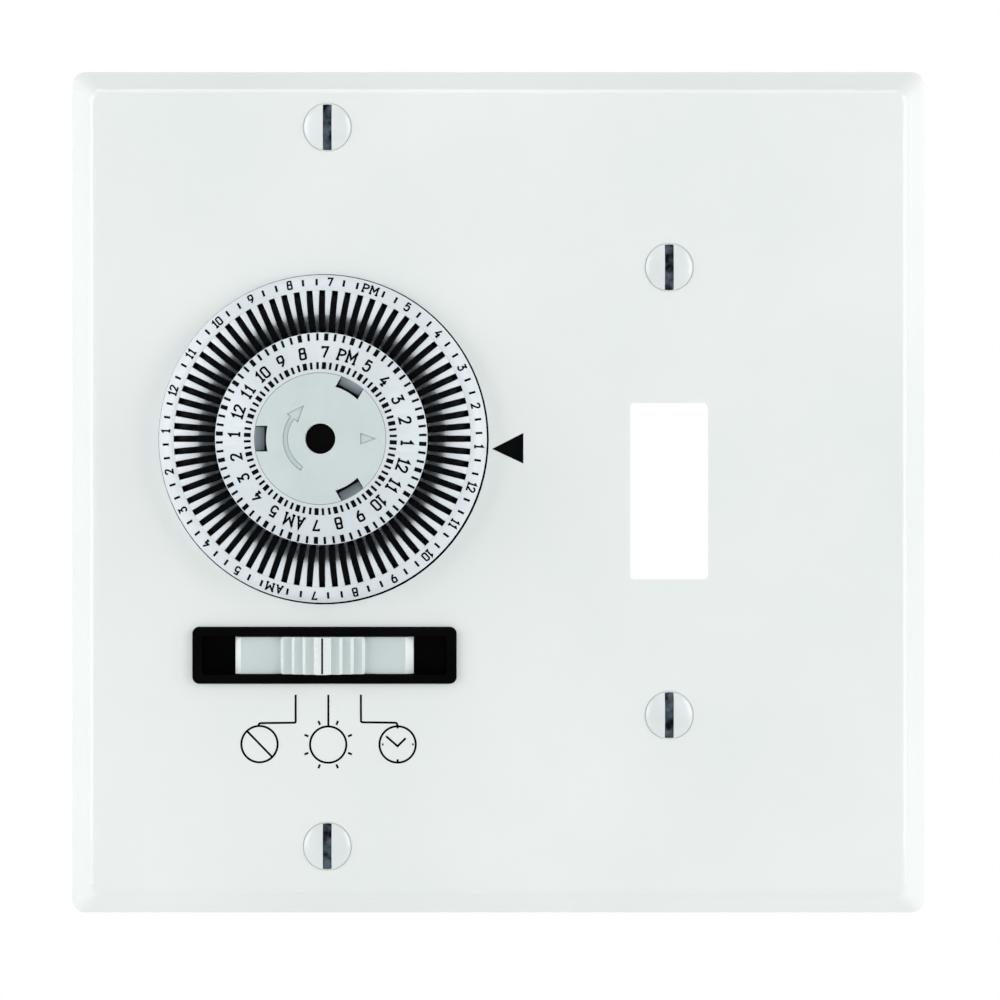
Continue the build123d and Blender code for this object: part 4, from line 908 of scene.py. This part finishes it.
# Ground screw: a hexagon-head screw, zinc plated and dyed green.
GROUND_X, GROUND_Z = -34.0, -47.62
GROUND_HEAD_R, GROUND_EDGE = 3.8, 0.15
GROUND_HEAD_LOW, GROUND_HEAD_TOP = 1.4, 2.9
GROUND_SLOT_FLOOR = 2.15
GROUND_SHANK = (-4.6, 1.4)
GROUND_THREAD_R, GROUND_CORE_R = 1.9, 1.5
green_zinc = skin_material(
    "Green dyed zinc", (42, 128, 72), (30, 104, 58), (0.26, 0.4), grain=5200.0,
    relief=0.003, cloud=600.0, metallic=0.85,
)
head = disc(
    "head", GROUND_X, GROUND_Z, GROUND_HEAD_R, GROUND_HEAD_LOW, GROUND_HEAD_TOP, sides=6
)
slotted(
    head, GROUND_X, GROUND_Z, GROUND_SLOT_FLOOR, GROUND_HEAD_TOP, GROUND_EDGE, segments=3
)
shank = threaded(GROUND_X, GROUND_Z, *GROUND_SHANK, GROUND_THREAD_R, GROUND_CORE_R)
parts = [head, shank]
give(joined("ground_screw_piece", parts), green_zinc, "root", "ground_green", "ground_screw")

# Rear case: black phenolic, moulded with a fine spark texture, closed by four
# screws that go in from the back.
case_black = skin_material(
    "Case black", (28, 28, 30), (20, 20, 22), (0.48, 0.62), grain=1800.0,
    relief=0.03, cloud=90.0,
)
dress("rear_case", case_black, rounding=0.25)
dress("case_screws", zinc_plate, rounding=0.1)

# Terminals: three brass plates on the left side of the case, each with its
# binding screw.
brass = skin_material(
    "Brass", (205, 172, 96), (178, 143, 74), (0.24, 0.40), grain=4800.0,
    relief=0.003, cloud=420.0, metallic=1.0,
)
dress("terminal_plates", brass, rounding=0.08)
dress("terminal_screws", brass, rounding=0.1)

# Dial works: the carrier behind the comb, the gear, the spindle and the
# steel plate that the movement is built on.
carrier_black = skin_material(
    "Carrier black", (24, 25, 27), (16, 16, 18), (0.4, 0.5), grain=3600.0, relief=0.004,
)
gear_ivory = skin_material(
    "Gear ivory", (232, 227, 205), (222, 216, 192), (0.3, 0.4), grain=3600.0,
    relief=0.003, coat=0.1,
)
black_steel = skin_material(
    "Blackened steel", (6, 6, 7), (3, 3, 4), (0.4, 0.55), grain=5200.0,
    relief=0.003, shine=0.04,
)
dress("dial_carrier", carrier_black)
dress("dial_gear", gear_ivory)
dress("dial_spindle", black_steel)
dress("movement_plate", zinc_plate)

# Selector: the slider's carriage, its detent spring and the steel link that
# runs up to the trip lever.
carriage_black = skin_material(
    "Carriage black", (30, 30, 32), (21, 21, 23), (0.4, 0.5), grain=3600.0, relief=0.004,
)
spring_steel = skin_material(
    "Spring steel", (196, 200, 205), (170, 175, 182), (0.18, 0.28), grain=6200.0,
    relief=0.002, cloud=400.0, metallic=1.0,
)
dress("selector_carriage", carriage_black)
dress("selector_link", zinc_plate)
dress("detent_spring", spring_steel)

# Switch: the amber trip lever on its pin, the bronze leaf and the brass
# contact that it closes on, on a base of brown phenolic.
lever_amber = skin_material(
    "Lever amber", (198, 126, 48), (176, 104, 36), (0.3, 0.42), grain=3000.0, relief=0.004,
)
bronze = skin_material(
    "Bronze", (196, 140, 88), (166, 112, 66), (0.22, 0.36), grain=4800.0, relief=0.003,
    cloud=420.0, metallic=1.0,
)
base_brown = skin_material(
    "Base brown", (86, 52, 34), (62, 36, 24), (0.36, 0.5), grain=2200.0, relief=0.006,
    cloud=900.0,
)
dress("trip_lever", lever_amber)
dress("lever_pin", spring_steel)
dress("moving_contact", bronze)
dress("fixed_contact", brass)
dress("leaf_anchor", brass)
dress("switch_base", base_brown)

# Motor: a drawn steel can with its plate, a nylon bobbin wound with enamelled
# copper wire, a ferrite rotor and the pinion that drives the dial.
bobbin_white = skin_material(
    "Bobbin white", (226, 222, 210), (214, 209, 195), (0.38, 0.5), grain=3000.0, relief=0.004,
)
magnet_grey = skin_material(
    "Magnet grey", (74, 74, 77), (58, 58, 61), (0.42, 0.58), grain=2600.0, relief=0.008,
    cloud=700.0, metallic=0.3,
)
winding_copper = skin_material(
    "Winding copper", (186, 98, 50), (150, 72, 36), (0.22, 0.34), grain=400.0, relief=0.01,
    cloud=300.0, metallic=0.9, coat=0.5,
)
dress("motor_plate", zinc_plate)
dress("motor_cup", zinc_plate)
dress("motor_bobbin", bobbin_white)
dress("motor_winding", winding_copper)
dress("motor_rotor", magnet_grey)
dress("drive_pinion", gear_ivory)

# Studio: a pale floor below the plate, lit a little from inside like a light
# table and fading into plain white away from it, two tall soft lights at the
# sides and a weak one above.
FLOOR_SIDE, FLOOR_Z = 6, -0.12
FLOOR_GLOW = 0.35
SHADE_NEAR, SHADE_FAR = 0.12, 0.30
AIR_GLOW = 0.36
# Each lamp is its name, its place, its width and height, and its watts.
LAMPS = [
    ("left light", (-0.68, -0.3, 0.1), (0.4, 0.8), 3.35),
    ("right light", (0.68, -0.3, 0.1), (0.4, 0.8), 3.55),
    ("top light", (-0.1, -0.12, 0.75), (0.8, 0.4), 1.6),
]


def seen(tree):
    """1 where the eye, a reflection or clear plastic looks, 0 for the light on the object."""
    path = tree.nodes.new("ShaderNodeLightPath")
    either = tree.nodes.new("ShaderNodeMath")
    either.operation = "MAXIMUM"
    any_of = tree.nodes.new("ShaderNodeMath")
    any_of.operation = "MAXIMUM"
    tree.links.new(path.outputs["Is Camera Ray"], either.inputs[0])
    tree.links.new(path.outputs["Is Glossy Ray"], either.inputs[1])
    tree.links.new(either.outputs["Value"], any_of.inputs[0])
    tree.links.new(path.outputs["Is Transmission Ray"], any_of.inputs[1])
    return any_of.outputs["Value"]


clear_selection()
bpy.ops.mesh.primitive_plane_add(size=FLOOR_SIDE, location=(0, 0, FLOOR_Z))
floor = bpy.context.object
floor.name = "floor"
studio_floor = bpy.data.materials.new("Studio floor")
studio_floor.use_nodes = True
tree = studio_floor.node_tree
shader = tree.nodes["Principled BSDF"]
shader.inputs["Base Color"].default_value = (0.8, 0.8, 0.8, 1)
shader.inputs["Roughness"].default_value = 0.9
shader.inputs["Specular IOR Level"].default_value = 0.0
lift = tree.nodes.new("ShaderNodeEmission")
lift.inputs["Strength"].default_value = FLOOR_GLOW
shaded = tree.nodes.new("ShaderNodeAddShader")
tree.links.new(shader.outputs["BSDF"], shaded.inputs[0])
tree.links.new(lift.outputs["Emission"], shaded.inputs[1])
white = tree.nodes.new("ShaderNodeEmission")
white.inputs["Strength"].default_value = 1.0
place = tree.nodes.new("ShaderNodeTexCoord")
reach = tree.nodes.new("ShaderNodeVectorMath")
reach.operation = "LENGTH"
fade = tree.nodes.new("ShaderNodeMapRange")
fade.interpolation_type = "SMOOTHSTEP"
fade.inputs["From Min"].default_value = SHADE_NEAR
fade.inputs["From Max"].default_value = SHADE_FAR
tree.links.new(place.outputs["Object"], reach.inputs[0])
tree.links.new(reach.outputs["Value"], fade.inputs["Value"])
fades = tree.nodes.new("ShaderNodeMixShader")
tree.links.new(fade.outputs["Result"], fades.inputs["Fac"])
tree.links.new(shaded.outputs["Shader"], fades.inputs[1])
tree.links.new(white.outputs["Emission"], fades.inputs[2])
choose = tree.nodes.new("ShaderNodeMixShader")
tree.links.new(seen(tree), choose.inputs["Fac"])
tree.links.new(shaded.outputs["Shader"], choose.inputs[1])
tree.links.new(fades.outputs["Shader"], choose.inputs[2])
tree.links.new(choose.outputs["Shader"], tree.nodes["Material Output"].inputs["Surface"])
floor.data.materials.append(studio_floor)

world = bpy.data.worlds.new("Studio air")
bpy.context.scene.world = world
world.use_nodes = True
tree = world.node_tree
air = tree.nodes["Background"]
air.inputs["Color"].default_value = (1, 1, 1, 1)
air.inputs["Strength"].default_value = AIR_GLOW
clean = tree.nodes.new("ShaderNodeBackground")
clean.inputs["Color"].default_value = (1, 1, 1, 1)
clean.inputs["Strength"].default_value = 1.0
choose = tree.nodes.new("ShaderNodeMixShader")
tree.links.new(seen(tree), choose.inputs["Fac"])
tree.links.new(air.outputs["Background"], choose.inputs[1])
tree.links.new(clean.outputs["Background"], choose.inputs[2])
tree.links.new(choose.outputs["Shader"], tree.nodes["World Output"].inputs["Surface"])

for name, spot, (wide, tall), watts in LAMPS:
    lamp = bpy.data.lights.new(name, "AREA")
    lamp.shape = "RECTANGLE"
    lamp.size, lamp.size_y = wide, tall
    lamp.energy = watts
    holder = bpy.data.objects.new(name, lamp)
    bpy.context.collection.objects.link(holder)
    holder.location = spot
    holder.rotation_euler = (-Vector(spot)).to_track_quat("-Z", "Y").to_euler()

# Camera: square to the plate, almost level with the dial, a long lens.
CAMERA_X, CAMERA_AWAY, CAMERA_Z = 0.0001, 0.55, 0.0056
VIEW_WIDE = 0.13604
SHIFT_X, SHIFT_Y = 0.001, -0.0489
camera = bpy.data.cameras.new("Camera")
camera.lens = camera.sensor_width * CAMERA_AWAY / VIEW_WIDE
camera.clip_start = 0.01
camera.shift_x, camera.shift_y = SHIFT_X, SHIFT_Y
eye = bpy.data.objects.new("Camera", camera)
bpy.context.collection.objects.link(eye)
eye.location = (CAMERA_X, -CAMERA_AWAY, CAMERA_Z)
eye.rotation_euler = (radians(90), 0, 0)
bpy.context.scene.camera = eye
bpy.context.scene.view_settings.view_transform = "Standard"

bpy.context.view_layer.update()
